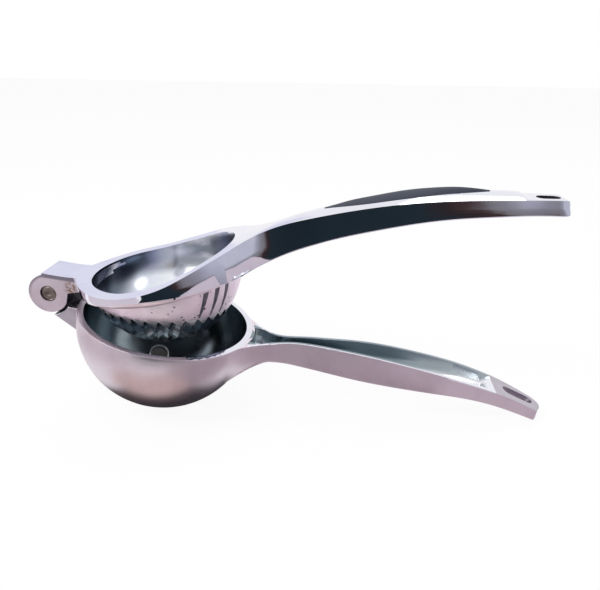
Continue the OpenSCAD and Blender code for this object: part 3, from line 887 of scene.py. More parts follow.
def buildLug():
    bm = bmesh.new()
    px, pz = stand["pinX"], stand["pinZ"]
    high = math.degrees(math.asin((lug["topZ"] - pz) / lug["shoulder"]))
    face = arcPoints((px, pz), lug["shoulder"], lug["shoulderLow"], high, 14)
    start = face[0]
    fall = math.tan(math.radians(lug["slope"]))
    back = []
    for i in range(13):
        a = math.radians(mix(180 - 0.52, 180 + 19.0, i / 12))
        back.append((lug["reach"] * math.cos(a), lug["reach"] * math.sin(a)))
    back = [p for p in back if p[1] > start[1] - fall * (p[0] - start[0])]
    last = back[-1]
    outline = face + back + [(last[0], start[1] - fall * (last[0] - start[0]))]
    slab(bm, outline, lug["width"])
    bm.normal_update()
    edges = [e for e in bm.edges if len(e.link_faces) == 2 and e.calc_face_angle(0) > 0.6
             and max(math.hypot(v.co.x, v.co.z) for v in e.verts) > 34]
    roundEdges(bm, edges, 0.5, segments=3)
    tongue = bmesh.new()
    t = lug["tongueTurn"]
    half = 5.1
    open_ = math.degrees(math.asin(half / lug["tongueRadius"]))
    outline = arcPoints((px, pz), lug["tongueRadius"], t + open_, t + 360 - open_, 40)
    along = Vector((math.cos(math.radians(t)), math.sin(math.radians(t))))
    side = Vector((-along.y, along.x))
    for sign in (-1, 1):
        spot = Vector((px, pz)) + along * 12 + side * half * sign
        outline.append((spot.x, spot.y))
    slab(tongue, outline, lug["tongueWidth"])
    mesh = bpy.data.meshes.new("tongue")
    bmesh.ops.recalc_face_normals(tongue, faces=tongue.faces)
    tongue.to_mesh(mesh)
    tongue.free()
    bm.from_mesh(mesh)
    # Faces of the tongue and the shoulder inside the ears take finish 1, painted shade
    for face in bm.faces:
        spot = face.calc_center_median()
        if math.hypot(spot.x - px, spot.z - pz) < lug["shoulder"] + 0.2 and abs(spot.y) < 7.6:
            face.material_index = 1
    return bm


hingeLug = makePiece(buildLug(), "hingeLug", bowlPlace)

# ---- hinge pin -------------------------------------------------------------------

pin = {"radius": 2.5, "headRadius": 3.2, "half": 7.55, "dimple": 0.35}


def buildPin():
    bm = bmesh.new()
    h = pin["half"]
    profile = [(0, h - 0.5), (0.7, h - 0.45), (1.1, h - 0.12), (1.4, h), (1.9, h), (2.3, h - 0.1),
               (2.75, h - 0.34), (3.2, h - 0.62), (3.2, h - 0.8), (2.5, h - 0.82), (2.5, 0)]
    verts = [bm.verts.new((r, z, 0)) for r, z in profile]
    edges = [bm.edges.new(pair) for pair in zip(verts, verts[1:])]
    bmesh.ops.mirror(bm, geom=verts + edges, axis="Y", merge_dist=0.001,
                     matrix=Matrix.Identity(4))
    bmesh.ops.spin(bm, geom=list(bm.verts) + list(bm.edges), cent=(0, 0, 0), axis=(0, 1, 0),
                   angle=math.tau, steps=64, use_merge=True)
    bmesh.ops.remove_doubles(bm, verts=bm.verts, dist=0.001)
    bmesh.ops.translate(bm, vec=pinSpot, verts=bm.verts)
    return bm


hingePin = makePiece(buildPin(), "hingePin", pressPlace, 40)

# ---- grip inlay ------------------------------------------------------------------

inlay = {
    "start": 66.0, "end": 125.5, "steps": 40, "columns": 14, "sink": 0.9, "edge": 0.3,
    "half": [(66, 0.3), (70, 1.95), (75, 3.5), (82, 4.75), (92, 5.05), (102, 4.45), (112, 2.6),
             (119, 1.3), (125.5, 0.25)],
    "peak": [(66, 20.75), (74, 22.34), (84, 23.01), (95, 23.48), (106, 23.07), (116, 21.85),
             (125.5, 19.37)],
}
inlayHalf = smoothCurve(inlay["half"])
inlayPeak = smoothCurve(inlay["peak"])


def buildInlay():
    bm = bmesh.new()
    n = inlay["columns"]
    shares = [2 * i / n - 1 for i in range(n + 1)]

    def rowSpots(x):
        half = max(inlayHalf(x), 0.2)
        spots = []
        for t in shares:
            across = t * half / pressHalf(x)
            edge = deckZ(x) + crownZ(x) * (1 - (half / pressHalf(x)) ** 2) + 0.12
            peak = max(inlayPeak(x), edge + 0.1)
            spots.append(Vector((x, t * half, mix(peak, edge, t * t))))
        return spots

    xs = [mix(inlay["start"], inlay["end"], i / inlay["steps"]) for i in range(inlay["steps"] + 1)]
    first = rowSpots(xs[0])
    row = [bm.verts.new(spot) for spot in first]
    for pair in zip(row, row[1:]):
        bm.edges.new(pair)
    for x in xs[1:]:
        row = nextRow(bm, row, rowSpots(x))
    border = [e for e in bm.edges if e.is_boundary]
    grown = bmesh.ops.extrude_edge_only(bm, edges=border)["geom"]
    low = [v for v in grown if isinstance(v, bmesh.types.BMVert)]
    for vert in low:
        vert.co.z -= inlay["sink"]
    bmesh.ops.holes_fill(bm, edges=[e for e in bm.edges if e.is_boundary], sides=0)
    bmesh.ops.recalc_face_normals(bm, faces=bm.faces)
    edges = [e for e in bm.edges if len(e.link_faces) == 2 and e.calc_face_angle(0) > 0.7
             and (e.verts[0].co.z + e.verts[1].co.z) / 2 > deckZ(e.verts[0].co.x)
             + crownZ(e.verts[0].co.x) * 0.5]
    roundEdges(bm, edges, 0.18, segments=2)
    return bm


gripInlay = makePiece(buildInlay(), "gripInlay", pressPlace)
print("pin and inlay made")

# ---- materials -------------------------------------------------------------------

def put(tree, kind, inputs=None, **settings):
    node = tree.nodes.new("ShaderNode" + kind)
    for key, value in settings.items():
        setattr(node, key, value)
    for key, value in (inputs or {}).items():
        if isinstance(value, bpy.types.NodeSocket):
            tree.links.new(value, node.inputs[key])
        else:
            node.inputs[key].default_value = value
    return node


def newGroup(name, inputs, outputs):
    group = bpy.data.node_groups.new(name, "ShaderNodeTree")
    for label, kind in inputs:
        group.interface.new_socket(label, in_out="INPUT", socket_type="NodeSocket" + kind)
    for label, kind in outputs:
        group.interface.new_socket(label, in_out="OUTPUT", socket_type="NodeSocket" + kind)
    return group, group.nodes.new("NodeGroupInput"), group.nodes.new("NodeGroupOutput")


# Cast and plated metal: a fine grain, the soft waves that polishing leaves, and worn clouds
def makeMetalSkin():
    group, given, out = newGroup(
        "metalSkin",
        [("Vector", "Vector"), ("Grain Scale", "Float"), ("Grain Depth", "Float"),
         ("Wave Scale", "Float"), ("Wave Depth", "Float"), ("Smooth", "Float"), ("Worn", "Float")],
        [("Normal", "Vector"), ("Roughness", "Float"), ("Clouds", "Float")])
    spot = given.outputs["Vector"]
    waves = put(group, "TexNoise", {"Vector": spot, "Scale": given.outputs["Wave Scale"],
                                    "Detail": 1.0, "Roughness": 0.4})
    soft = put(group, "Bump", {"Height": waves.outputs["Fac"],
                               "Strength": given.outputs["Wave Depth"], "Distance": 0.001})
    grain = put(group, "TexNoise", {"Vector": spot, "Scale": given.outputs["Grain Scale"],
                                    "Detail": 3.0, "Roughness": 0.6})
    fine = put(group, "Bump", {"Height": grain.outputs["Fac"], "Normal": soft.outputs["Normal"],
                               "Strength": given.outputs["Grain Depth"], "Distance": 0.0002})
    clouds = put(group, "TexNoise", {"Vector": spot, "Scale": 55.0, "Detail": 4.0,
                                     "Roughness": 0.62})
    shaped = put(group, "MapRange", {"Value": clouds.outputs["Fac"], "From Min": 0.42,
                                     "From Max": 0.66})
    rough = put(group, "MapRange", {"Value": shaped.outputs["Result"],
                                    "To Min": given.outputs["Smooth"],
                                    "To Max": given.outputs["Worn"]})
    group.links.new(fine.outputs["Normal"], out.inputs["Normal"])
    group.links.new(rough.outputs["Result"], out.inputs["Roughness"])
    group.links.new(shaped.outputs["Result"], out.inputs["Clouds"])
    return group


metalSkin = makeMetalSkin()

metalLooks = {
    "mirrorChrome": {"color": (0.80, 0.80, 0.875), "cloud": (0.74, 0.73, 0.83), "smooth": 0.035,
                     "worn": 0.085, "grain": 2400.0, "grainDepth": 0.02, "waves": 70.0,
                     "waveDepth": 0.16},
    "satinCast": {"color": (0.68, 0.60, 0.665), "cloud": (0.59, 0.51, 0.57), "smooth": 0.33,
                  "worn": 0.42, "grain": 5200.0, "grainDepth": 0.25, "waves": 60.0,
                  "waveDepth": 0.1},
    "cupInside": {"color": (0.96, 0.97, 0.98), "cloud": (0.86, 0.87, 0.88), "smooth": 0.15,
                  "worn": 0.22, "grain": 2600.0, "grainDepth": 0.08, "waves": 70.0,
                  "waveDepth": 0.3},
    # Dark as painted shade: the inside of the bowl, the drain holes' walls and the channel
    "insidePaintedShade": {"color": (0.25, 0.30, 0.335), "cloud": (0.20, 0.24, 0.27), "smooth": 0.16,
                   "worn": 0.26, "grain": 3000.0, "grainDepth": 0.06, "waves": 60.0,
                   "waveDepth": 0.25},
    "castBand": {"color": (0.98, 0.865, 0.935), "cloud": (0.83, 0.72, 0.79), "smooth": 0.38,
                 "worn": 0.5, "grain": 1700.0, "grainDepth": 0.75, "waves": 220.0,
                 "waveDepth": 0.25},
    # Painted highlight on the teeth's tips and the drain holes' countersinks
    "paintedHighlight": {"color": (0.97, 0.95, 0.96), "cloud": (0.85, 0.83, 0.84), "smooth": 0.3,
                    "worn": 0.4, "grain": 2600.0, "grainDepth": 0.2, "waves": 200.0,
                    "waveDepth": 0.2},
    # Painted shade in the flutes
    "flutePaintedShade": {"color": (0.17, 0.20, 0.22), "cloud": (0.10, 0.12, 0.14), "smooth": 0.16,
                  "worn": 0.28, "grain": 2600.0, "grainDepth": 0.1, "waves": 120.0,
                  "waveDepth": 0.3},
    # Painted shade on the ears' chamfer under the roof's edge
    "chamferPaintedShade": {"color": (0.26, 0.235, 0.29), "cloud": (0.20, 0.18, 0.22), "smooth": 0.25,
                "worn": 0.35, "grain": 2600.0, "grainDepth": 0.2, "waves": 120.0,
                "waveDepth": 0.2},
    # A darker copy of the satin cast: on the lug and the tab, and as painted shade in the bowl's hanging
    # slot
    "lugCast": {"color": (0.50, 0.465, 0.52), "cloud": (0.40, 0.36, 0.41), "smooth": 0.3,
                "worn": 0.42, "grain": 4200.0, "grainDepth": 0.3, "waves": 60.0,
                "waveDepth": 0.1},
    # Painted shade in the long flutes and the press arm's hanging slot
    "groovePaintedShade": {"color": (0.085, 0.08, 0.10), "cloud": (0.20, 0.19, 0.23), "smooth": 0.3,
                   "worn": 0.4, "grain": 2600.0, "grainDepth": 0.2, "waves": 120.0,
                   "waveDepth": 0.2},
    # Painted shade in the gap between the tongue and the ears
    "gapPaintedShade": {"color": (0.030, 0.030, 0.036), "cloud": (0.06, 0.05, 0.05), "smooth": 0.3,
                  "worn": 0.5, "grain": 2600.0, "grainDepth": 0.3, "waves": 120.0,
                  "waveDepth": 0.2},
    "pinSteel": {"color": (0.36, 0.30, 0.28), "cloud": (0.10, 0.075, 0.065), "smooth": 0.28,
                 "worn": 0.5, "grain": 2600.0, "grainDepth": 0.5, "waves": 500.0,
                 "waveDepth": 0.3},
}


def makeMetal(name):
    look = metalLooks[name]
    material = bpy.data.materials.new(name)
    material.use_nodes = True
    tree = material.node_tree
    shader = tree.nodes["Principled BSDF"]
    shader.inputs["Metallic"].default_value = 1.0
    place = put(tree, "TexCoord")
    skin = put(tree, "Group", {}, node_tree=metalSkin)
    tree.links.new(place.outputs["Object"], skin.inputs["Vector"])
    for label, key in (("Grain Scale", "grain"), ("Grain Depth", "grainDepth"),
                       ("Wave Scale", "waves"), ("Wave Depth", "waveDepth"),
                       ("Smooth", "smooth"), ("Worn", "worn")):
        skin.inputs[label].default_value = look[key]
    tint = put(tree, "Mix", {"Factor": skin.outputs["Clouds"]}, data_type="RGBA")
    tint.inputs["A"].default_value = (*look["color"], 1)
    tint.inputs["B"].default_value = (*look["cloud"], 1)
    for socket in tint.inputs:
        if socket.type == "RGBA":
            socket.default_value = (*look["color" if socket.name == "A" else "cloud"], 1)
    color = next(socket for socket in tint.outputs if socket.type == "RGBA")
    tree.links.new(color, shader.inputs["Base Color"])
    tree.links.new(skin.outputs["Roughness"], shader.inputs["Roughness"])
    tree.links.new(skin.outputs["Normal"], shader.inputs["Normal"])
    return material, tree, shader, place, skin, color


mirrorChrome = makeMetal("mirrorChrome")[0]
satinCast = makeMetal("satinCast")[0]
insidePaintedShade = makeMetal("insidePaintedShade")[0]
paintedHighlight = makeMetal("paintedHighlight")[0]
flutePaintedShade = makeMetal("flutePaintedShade")[0]
groovePaintedShade = makeMetal("groovePaintedShade")[0]
chamferPaintedShade = makeMetal("chamferPaintedShade")[0]
lugCast = makeMetal("lugCast")[0]
gapPaintedShade = makeMetal("gapPaintedShade")[0]
pinSteel = makeMetal("pinSteel")[0]

# The ears' side faces: painted shade below the roof's edge and round the end, and brown in patches at the
# neck
earLook = {
    "edgeShadeTone": (0.24, 0.22, 0.27, 1), "edgeWidth": 1.7, "roundWidth": 0.9,
    "brownSpot": (-0.0855, -0.0077, 0.0508), "brownTone": (0.24, 0.14, 0.07, 1),
}
earCast, tree, shader, place, skin, color = makeMetal("satinCast")
earCast.name = "earCast"
roofLine = [pressPlace @ Vector((x, 0, deckZ(x))) for x in (-46.3, -36)]
along = (roofLine[1] - roofLine[0]).normalized()
downward = Vector((along.z, 0, -along.x))
fromRoof = put(tree, "VectorMath", {0: place.outputs["Object"], 1: downward},
               operation="DOT_PRODUCT")
# Painted shade: a dark band just below the roof's edge
edge = put(tree, "MapRange", {
    "Value": fromRoof.outputs["Value"],
    "From Min": downward.dot(roofLine[0]) + 0.001 * earLook["edgeWidth"] - 0.0003,
    "From Max": downward.dot(roofLine[0]) + 0.001 * earLook["edgeWidth"] + 0.0003,
    "To Min": 1.0, "To Max": 0.0})
flattened = put(tree, "VectorMath", {0: place.outputs["Object"], 1: (1, 0, 1)},
                operation="MULTIPLY")
fromPin = put(tree, "VectorMath", {0: flattened.outputs["Vector"], 1: pressPlace @ pinSpot},
              operation="DISTANCE")
# and painted shade round the ears' upper end
outer = 0.001 * (press["earRadius"] - earLook["roundWidth"])
end = put(tree, "MapRange", {"Value": fromPin.outputs["Value"], "From Min": outer - 0.0004,
                             "From Max": outer + 0.0004, "To Min": 0.0, "To Max": 0.8})
leftward = put(tree, "VectorMath", {0: place.outputs["Object"], 1: -along},
               operation="DOT_PRODUCT")
pinAlong = (-along).dot(pressPlace @ pinSpot)
atEnd = put(tree, "MapRange", {"Value": leftward.outputs["Value"], "From Min": pinAlong,
                               "From Max": pinAlong + 0.002})
upper = put(tree, "MapRange", {
    "Value": fromRoof.outputs["Value"],
    "From Min": downward.dot(pressPlace @ pinSpot) - 0.004,
    "From Max": downward.dot(pressPlace @ pinSpot) + 0.003, "To Min": 1.0, "To Max": 0.15})
endHere = put(tree, "Math", {0: end.outputs["Result"], 1: atEnd.outputs["Result"]},
              operation="MULTIPLY")
endUpper = put(tree, "Math", {0: endHere.outputs[0], 1: upper.outputs["Result"]},
               operation="MULTIPLY")
either = put(tree, "Math", {0: edge.outputs["Result"], 1: endUpper.outputs[0]},
             operation="MAXIMUM")
# Brown patches round one spot at the neck
away = put(tree, "VectorMath", {0: place.outputs["Object"], 1: earLook["brownSpot"]},
           operation="DISTANCE")
close = put(tree, "MapRange", {"Value": away.outputs["Value"], "From Min": 0.0014,
                               "From Max": 0.0034, "To Min": 1.0, "To Max": 0.0})
patchy = put(tree, "TexNoise", {"Vector": place.outputs["Object"], "Scale": 900.0, "Detail": 2.0})
patches = put(tree, "MapRange", {"Value": patchy.outputs["Fac"], "From Min": 0.42,
                                 "From Max": 0.58, "To Min": 0.15, "To Max": 1.0})
brownPatch = put(tree, "Math", {0: close.outputs["Result"], 1: patches.outputs["Result"]},
           operation="MULTIPLY")
for factor, tone in ((either.outputs[0], earLook["edgeShadeTone"]),
                     (brownPatch.outputs[0], earLook["brownTone"])):
    stain = put(tree, "Mix", {"Factor": factor}, data_type="RGBA")
    sockets = [socket for socket in stain.inputs if socket.type == "RGBA"]
    tree.links.new(color, sockets[0])
    sockets[1].default_value = tone
    color = next(socket for socket in stain.outputs if socket.type == "RGBA")
tree.links.new(color, shader.inputs["Base Color"])


# Mixes a colour, or another colour output, over a colour by a factor
def layTone(tree, color, factor, tone, blend="MIX"):
    node = put(tree, "Mix", {"Factor": factor}, data_type="RGBA", blend_type=blend)
    sockets = [socket for socket in node.inputs if socket.type == "RGBA"]
    tree.links.new(color, sockets[0])
    if isinstance(tone, tuple):
        sockets[1].default_value = tone
    else:
        tree.links.new(tone, sockets[1])
    return next(socket for socket in node.outputs if socket.type == "RGBA")


# Lays a colour ramp along the squeezer over a material's own clouds
def rampAlong(tree, place, color, low, high, stops):
    along = put(tree, "SeparateXYZ", {0: place.outputs["Object"]})
    share = put(tree, "MapRange", {"Value": along.outputs["X"], "From Min": low, "From Max": high})
    ramp = put(tree, "ValToRGB", {"Fac": share.outputs["Result"]})
    ramp.color_ramp.interpolation = "EASE"
    marks = ramp.color_ramp.elements
    while len(marks) < len(stops):
        marks.new(0.5)
    for mark, (spot, tone) in zip(marks, stops):
        mark.position = spot
        mark.color = (*tone, 1)
    return layTone(tree, color, 1.0, ramp.outputs["Color"], "MULTIPLY")


# Painted reflection: the inside of the cup dark towards both ends and bright between
cupReflectionStops = [(0.0, (0.04, 0.06, 0.08)), (0.08, (0.15, 0.18, 0.22)), (0.20, (0.72, 0.75, 0.84)),
            (0.45, (0.95, 0.96, 1.0)), (0.70, (1.0, 1.0, 1.0)), (0.85, (0.48, 0.50, 0.64)),
            (0.96, (0.08, 0.11, 0.13))]
cupInside, tree, shader, place, skin, color = makeMetal("cupInside")
color = rampAlong(tree, place, color, -0.078, -0.020, cupReflectionStops)
# and painted shade on the far wall, above a bright hollow, and round one spot
cupPaintedShade = {"from": 0.0460, "to": 0.0490, "leftOf": -0.0535, "rightOf": -0.0515,
            "dim": (0.52, 0.53, 0.58, 1), "spot": (-0.0512, 0.0253, 0.0470)}
parts = put(tree, "SeparateXYZ", {0: place.outputs["Object"]})
high = put(tree, "MapRange", {"Value": parts.outputs["Z"], "From Min": cupPaintedShade["from"],
                              "From Max": cupPaintedShade["to"]})
left = put(tree, "MapRange", {"Value": parts.outputs["X"], "From Min": cupPaintedShade["leftOf"],
                              "From Max": cupPaintedShade["rightOf"], "To Min": 1.0, "To Max": 0.0})
wall = put(tree, "Math", {0: high.outputs["Result"], 1: left.outputs["Result"]},
           operation="MULTIPLY")
away = put(tree, "VectorMath", {0: place.outputs["Object"], 1: cupPaintedShade["spot"]},
           operation="DISTANCE")
near = put(tree, "MapRange", {"Value": away.outputs["Value"], "From Min": 0.0018,
                              "From Max": 0.0040, "To Min": 1.0, "To Max": 0.0})
shaded = put(tree, "Math", {0: wall.outputs[0], 1: near.outputs["Result"]},
             operation="MAXIMUM")
color = layTone(tree, color, shaded.outputs[0], cupPaintedShade["dim"], "MULTIPLY")
tree.links.new(color, shader.inputs["Base Color"])

# The handle's channel: a painted highlight towards its end, fading near its walls
channelHighlight = {"from": 0.044, "to": 0.066, "bright": (0.84, 0.85, 0.90, 1), "wallFrom": 0.0030,
               "wallTo": 0.0052}
channelMetal, tree, shader, place, skin, color = makeMetal("insidePaintedShade")
channelMetal.name = "channelMetal"
along = put(tree, "SeparateXYZ", {0: place.outputs["Object"]})
toEnd = put(tree, "MapRange", {"Value": along.outputs["X"], "From Min": channelHighlight["from"],
                               "From Max": channelHighlight["to"]}, interpolation_type="SMOOTHSTEP")
offWall = put(tree, "MapRange", {"Value": along.outputs["Y"], "From Min": channelHighlight["wallFrom"],
                                 "From Max": channelHighlight["wallTo"], "To Min": 1.0,
                                 "To Max": 0.15}, interpolation_type="SMOOTHSTEP")
share = put(tree, "Math", {0: toEnd.outputs["Result"], 1: offWall.outputs["Result"]},
            operation="MULTIPLY")
fade = put(tree, "Mix", {"Factor": share.outputs[0]}, data_type="RGBA")
sockets = [socket for socket in fade.inputs if socket.type == "RGBA"]
tree.links.new(color, sockets[0])
sockets[1].default_value = channelHighlight["bright"]
tree.links.new(next(socket for socket in fade.outputs if socket.type == "RGBA"),
               shader.inputs["Base Color"])

# The cup's band as it was cast, with pits in its skin, and painted shade darkening it towards the hinge
castBand, tree, shader, place, skin, color = makeMetal("castBand")
bandShadeStops = [(0.0, (0.70, 0.70, 0.71)), (0.36, (0.90, 0.90, 0.90)), (0.66, (1.0, 1.0, 1.0))]
color = rampAlong(tree, place, color, -0.078, -0.020, bandShadeStops)
cells = put(tree, "TexVoronoi", {"Vector": place.outputs["Object"], "Scale": 520.0})
pits = put(tree, "MapRange", {"Value": cells.outputs["Distance"], "From Min": 0.16,
                              "From Max": 0.30, "To Min": 1.0, "To Max": 0.0})
patchy = put(tree, "TexNoise", {"Vector": place.outputs["Object"], "Scale": 110.0, "Detail": 1.0})
patches = put(tree, "MapRange", {"Value": patchy.outputs["Fac"], "From Min": 0.53,
                                 "From Max": 0.58})
where = put(tree, "Math", {0: pits.outputs["Result"], 1: patches.outputs["Result"]},
            operation="MULTIPLY")
stain = put(tree, "Mix", {"Factor": where.outputs[0]}, data_type="RGBA")
sockets = [socket for socket in stain.inputs if socket.type == "RGBA"]
tree.links.new(color, sockets[0])
sockets[1].default_value = (0.05, 0.035, 0.035, 1)
tree.links.new(next(socket for socket in stain.outputs if socket.type == "RGBA"),
               shader.inputs["Base Color"])

gripLook = {"color": (0.030, 0.036, 0.055, 1), "light": (0.050, 0.056, 0.078, 1)}
gripRubber = bpy.data.materials.new("gripRubber")
gripRubber.use_nodes = True
tree = gripRubber.node_tree
shader = tree.nodes["Principled BSDF"]
shader.inputs["Roughness"].default_value = 0.62
shader.inputs["Specular IOR Level"].default_value = 0.22
place = put(tree, "TexCoord")
grain = put(tree, "TexNoise", {"Vector": place.outputs["Object"], "Scale": 2600.0, "Detail": 3.0})
tone = put(tree, "TexNoise", {"Vector": place.outputs["Object"], "Scale": 90.0, "Detail": 3.0})
tint = put(tree, "Mix", {"Factor": tone.outputs["Fac"]}, data_type="RGBA")
sockets = [socket for socket in tint.inputs if socket.type == "RGBA"]
sockets[0].default_value, sockets[1].default_value = gripLook["color"], gripLook["light"]
tree.links.new(next(socket for socket in tint.outputs if socket.type == "RGBA"),
               shader.inputs["Base Color"])
bump = put(tree, "Bump", {"Height": grain.outputs["Fac"], "Strength": 0.35, "Distance": 0.0001})
tree.links.new(bump.outputs["Normal"], shader.inputs["Normal"])

for piece, body, nodes, slotName, materials in (
    (pressArm, "press_arm", ["upper_arm"], "polished_metal",
     [mirrorChrome, castBand, cupInside, earCast, paintedHighlight, flutePaintedShade,
      groovePaintedShade, chamferPaintedShade]),
    (bowlArm, "bowl_arm", ["lower_arm"], "satin_metal",
     [satinCast, insidePaintedShade, channelMetal, paintedHighlight, mirrorChrome, lugCast]),
    (hingeLug, "bowl_arm", ["lower_arm"], "satin_metal", [lugCast, gapPaintedShade]),
    (hingePin, "press_arm", ["hinge_pin"], "pin_steel", [pinSteel]),
    (gripInlay, "press_arm", ["grip_inlay"], "black_rubber", [gripRubber]),
):
    for material in materials:
        piece.data.materials.append(material)
    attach(piece, body)
    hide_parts(*nodes)

# ---- stage, light and camera -----------------------------------------------------

stage = {
    "floorSize": 6.0,
    "cameraTurn": -0.17190,
    "cameraRise": 22.6659,
    "cameraRoll": -12.7689,
    "cameraSpot": (50.0606, -213.6752, 113.2992),
    "focal": 587.74,
    # where the floor's painted shadow lies, and its size
    "paintedShadowSpot": (-0.067, 0.030, 0.0), "paintedShadowSize": (0.029, 0.038, 1.0),
}
world = bpy.data.worlds.new("studio")
scene.world = world
world.use_nodes = True
nodes, links = world.node_tree.nodes, world.node_tree.links
background = nodes["Background"]
path = nodes.new("ShaderNodeLightPath")
seen = nodes.new("ShaderNodeMath")
seen.operation = "MAXIMUM"
links.new(path.outputs["Is Camera Ray"], seen.inputs[0])
links.new(path.outputs["Is Glossy Ray"], seen.inputs[1])
seenAll = nodes.new("ShaderNodeMath")
seenAll.operation = "MAXIMUM"
links.new(seen.outputs[0], seenAll.inputs[0])
links.new(path.outputs["Is Transmission Ray"], seenAll.inputs[1])
level = nodes.new("ShaderNodeMapRange")
level.inputs["To Min"].default_value = 0.55
level.inputs["To Max"].default_value = 1.0
links.new(seenAll.outputs[0], level.inputs["Value"])
links.new(level.outputs["Result"], background.inputs["Strength"])
background.inputs["Color"].default_value = (1, 1, 1, 1)

bpy.ops.mesh.primitive_plane_add(size=stage["floorSize"])
floor = bpy.context.object
floor.name = "floor"
floorPaint = bpy.data.materials.new("floorPaint")
floorPaint.use_nodes = True
tree = floorPaint.node_tree
diffuse = tree.nodes["Principled BSDF"]
diffuse.inputs["Roughness"].default_value = 1
glow = tree.nodes.new("ShaderNodeEmission")
glow.inputs["Color"].default_value = (1, 1, 1, 1)
blend = tree.nodes.new("ShaderNodeMixShader")
floorPath = tree.nodes.new("ShaderNodeLightPath")
either = tree.nodes.new("ShaderNodeMath")
either.operation = "MAXIMUM"
tree.links.new(floorPath.outputs["Is Camera Ray"], either.inputs[0])
tree.links.new(floorPath.outputs["Is Glossy Ray"], either.inputs[1])
# A painted shadow on the floor behind the bowl: it dims both the floor's glow and its paint
place = put(tree, "TexCoord")
shade = put(tree, "VectorMath", {0: place.outputs["Object"], 1: stage["paintedShadowSpot"]},
            operation="SUBTRACT")
shade = put(tree, "VectorMath", {0: shade.outputs["Vector"], 1: stage["paintedShadowSize"]},
            operation="DIVIDE")
away = put(tree, "VectorMath", {0: shade.outputs["Vector"]}, operation="LENGTH")
lit = put(tree, "MapRange", {"Value": away.outputs["Value"], "From Min": 0.45,
                             "From Max": 1.0, "To Min": 0.0, "To Max": 0.93},
          interpolation_type="SMOOTHERSTEP")
share = tree.nodes.new("ShaderNodeMath")
share.operation = "MULTIPLY"
tree.links.new(lit.outputs["Result"], share.inputs[1])
tree.links.new(either.outputs[0], share.inputs[0])
paintedShadowTone = put(tree, "MapRange", {"Value": lit.outputs["Result"], "From Max": 0.93,
                                   "To Min": 0.02, "To Max": 0.9})
tree.links.new(paintedShadowTone.outputs["Result"], diffuse.inputs["Base Color"])
tree.links.new(share.outputs[0], blend.inputs[0])
tree.links.new(diffuse.outputs[0], blend.inputs[1])
tree.links.new(glow.outputs[0], blend.inputs[2])
tree.links.new(blend.outputs[0], tree.nodes["Material Output"].inputs["Surface"])
floor.data.materials.append(floorPaint)


def softbox(name, spot, target, size, power):
    light = bpy.data.lights.new(name, "AREA")
    light.shape = "RECTANGLE"
    light.size, light.size_y = size
    light.energy = power
    lamp = bpy.data.objects.new(name, light)
    scene.collection.objects.link(lamp)
    lamp.location = spot
    aim = Vector(target) - Vector(spot)
    lamp.rotation_euler = aim.to_track_quat("-Z", "Y").to_euler()
    return lamp


softbox("keyBox", (-0.45, -0.35, 0.6), (-0.03, 0, 0.04), (0.4, 0.4), 4)
softbox("backBox", (0.25, 0.5, 0.9), (0, 0, 0.05), (0.6, 0.5), 3)

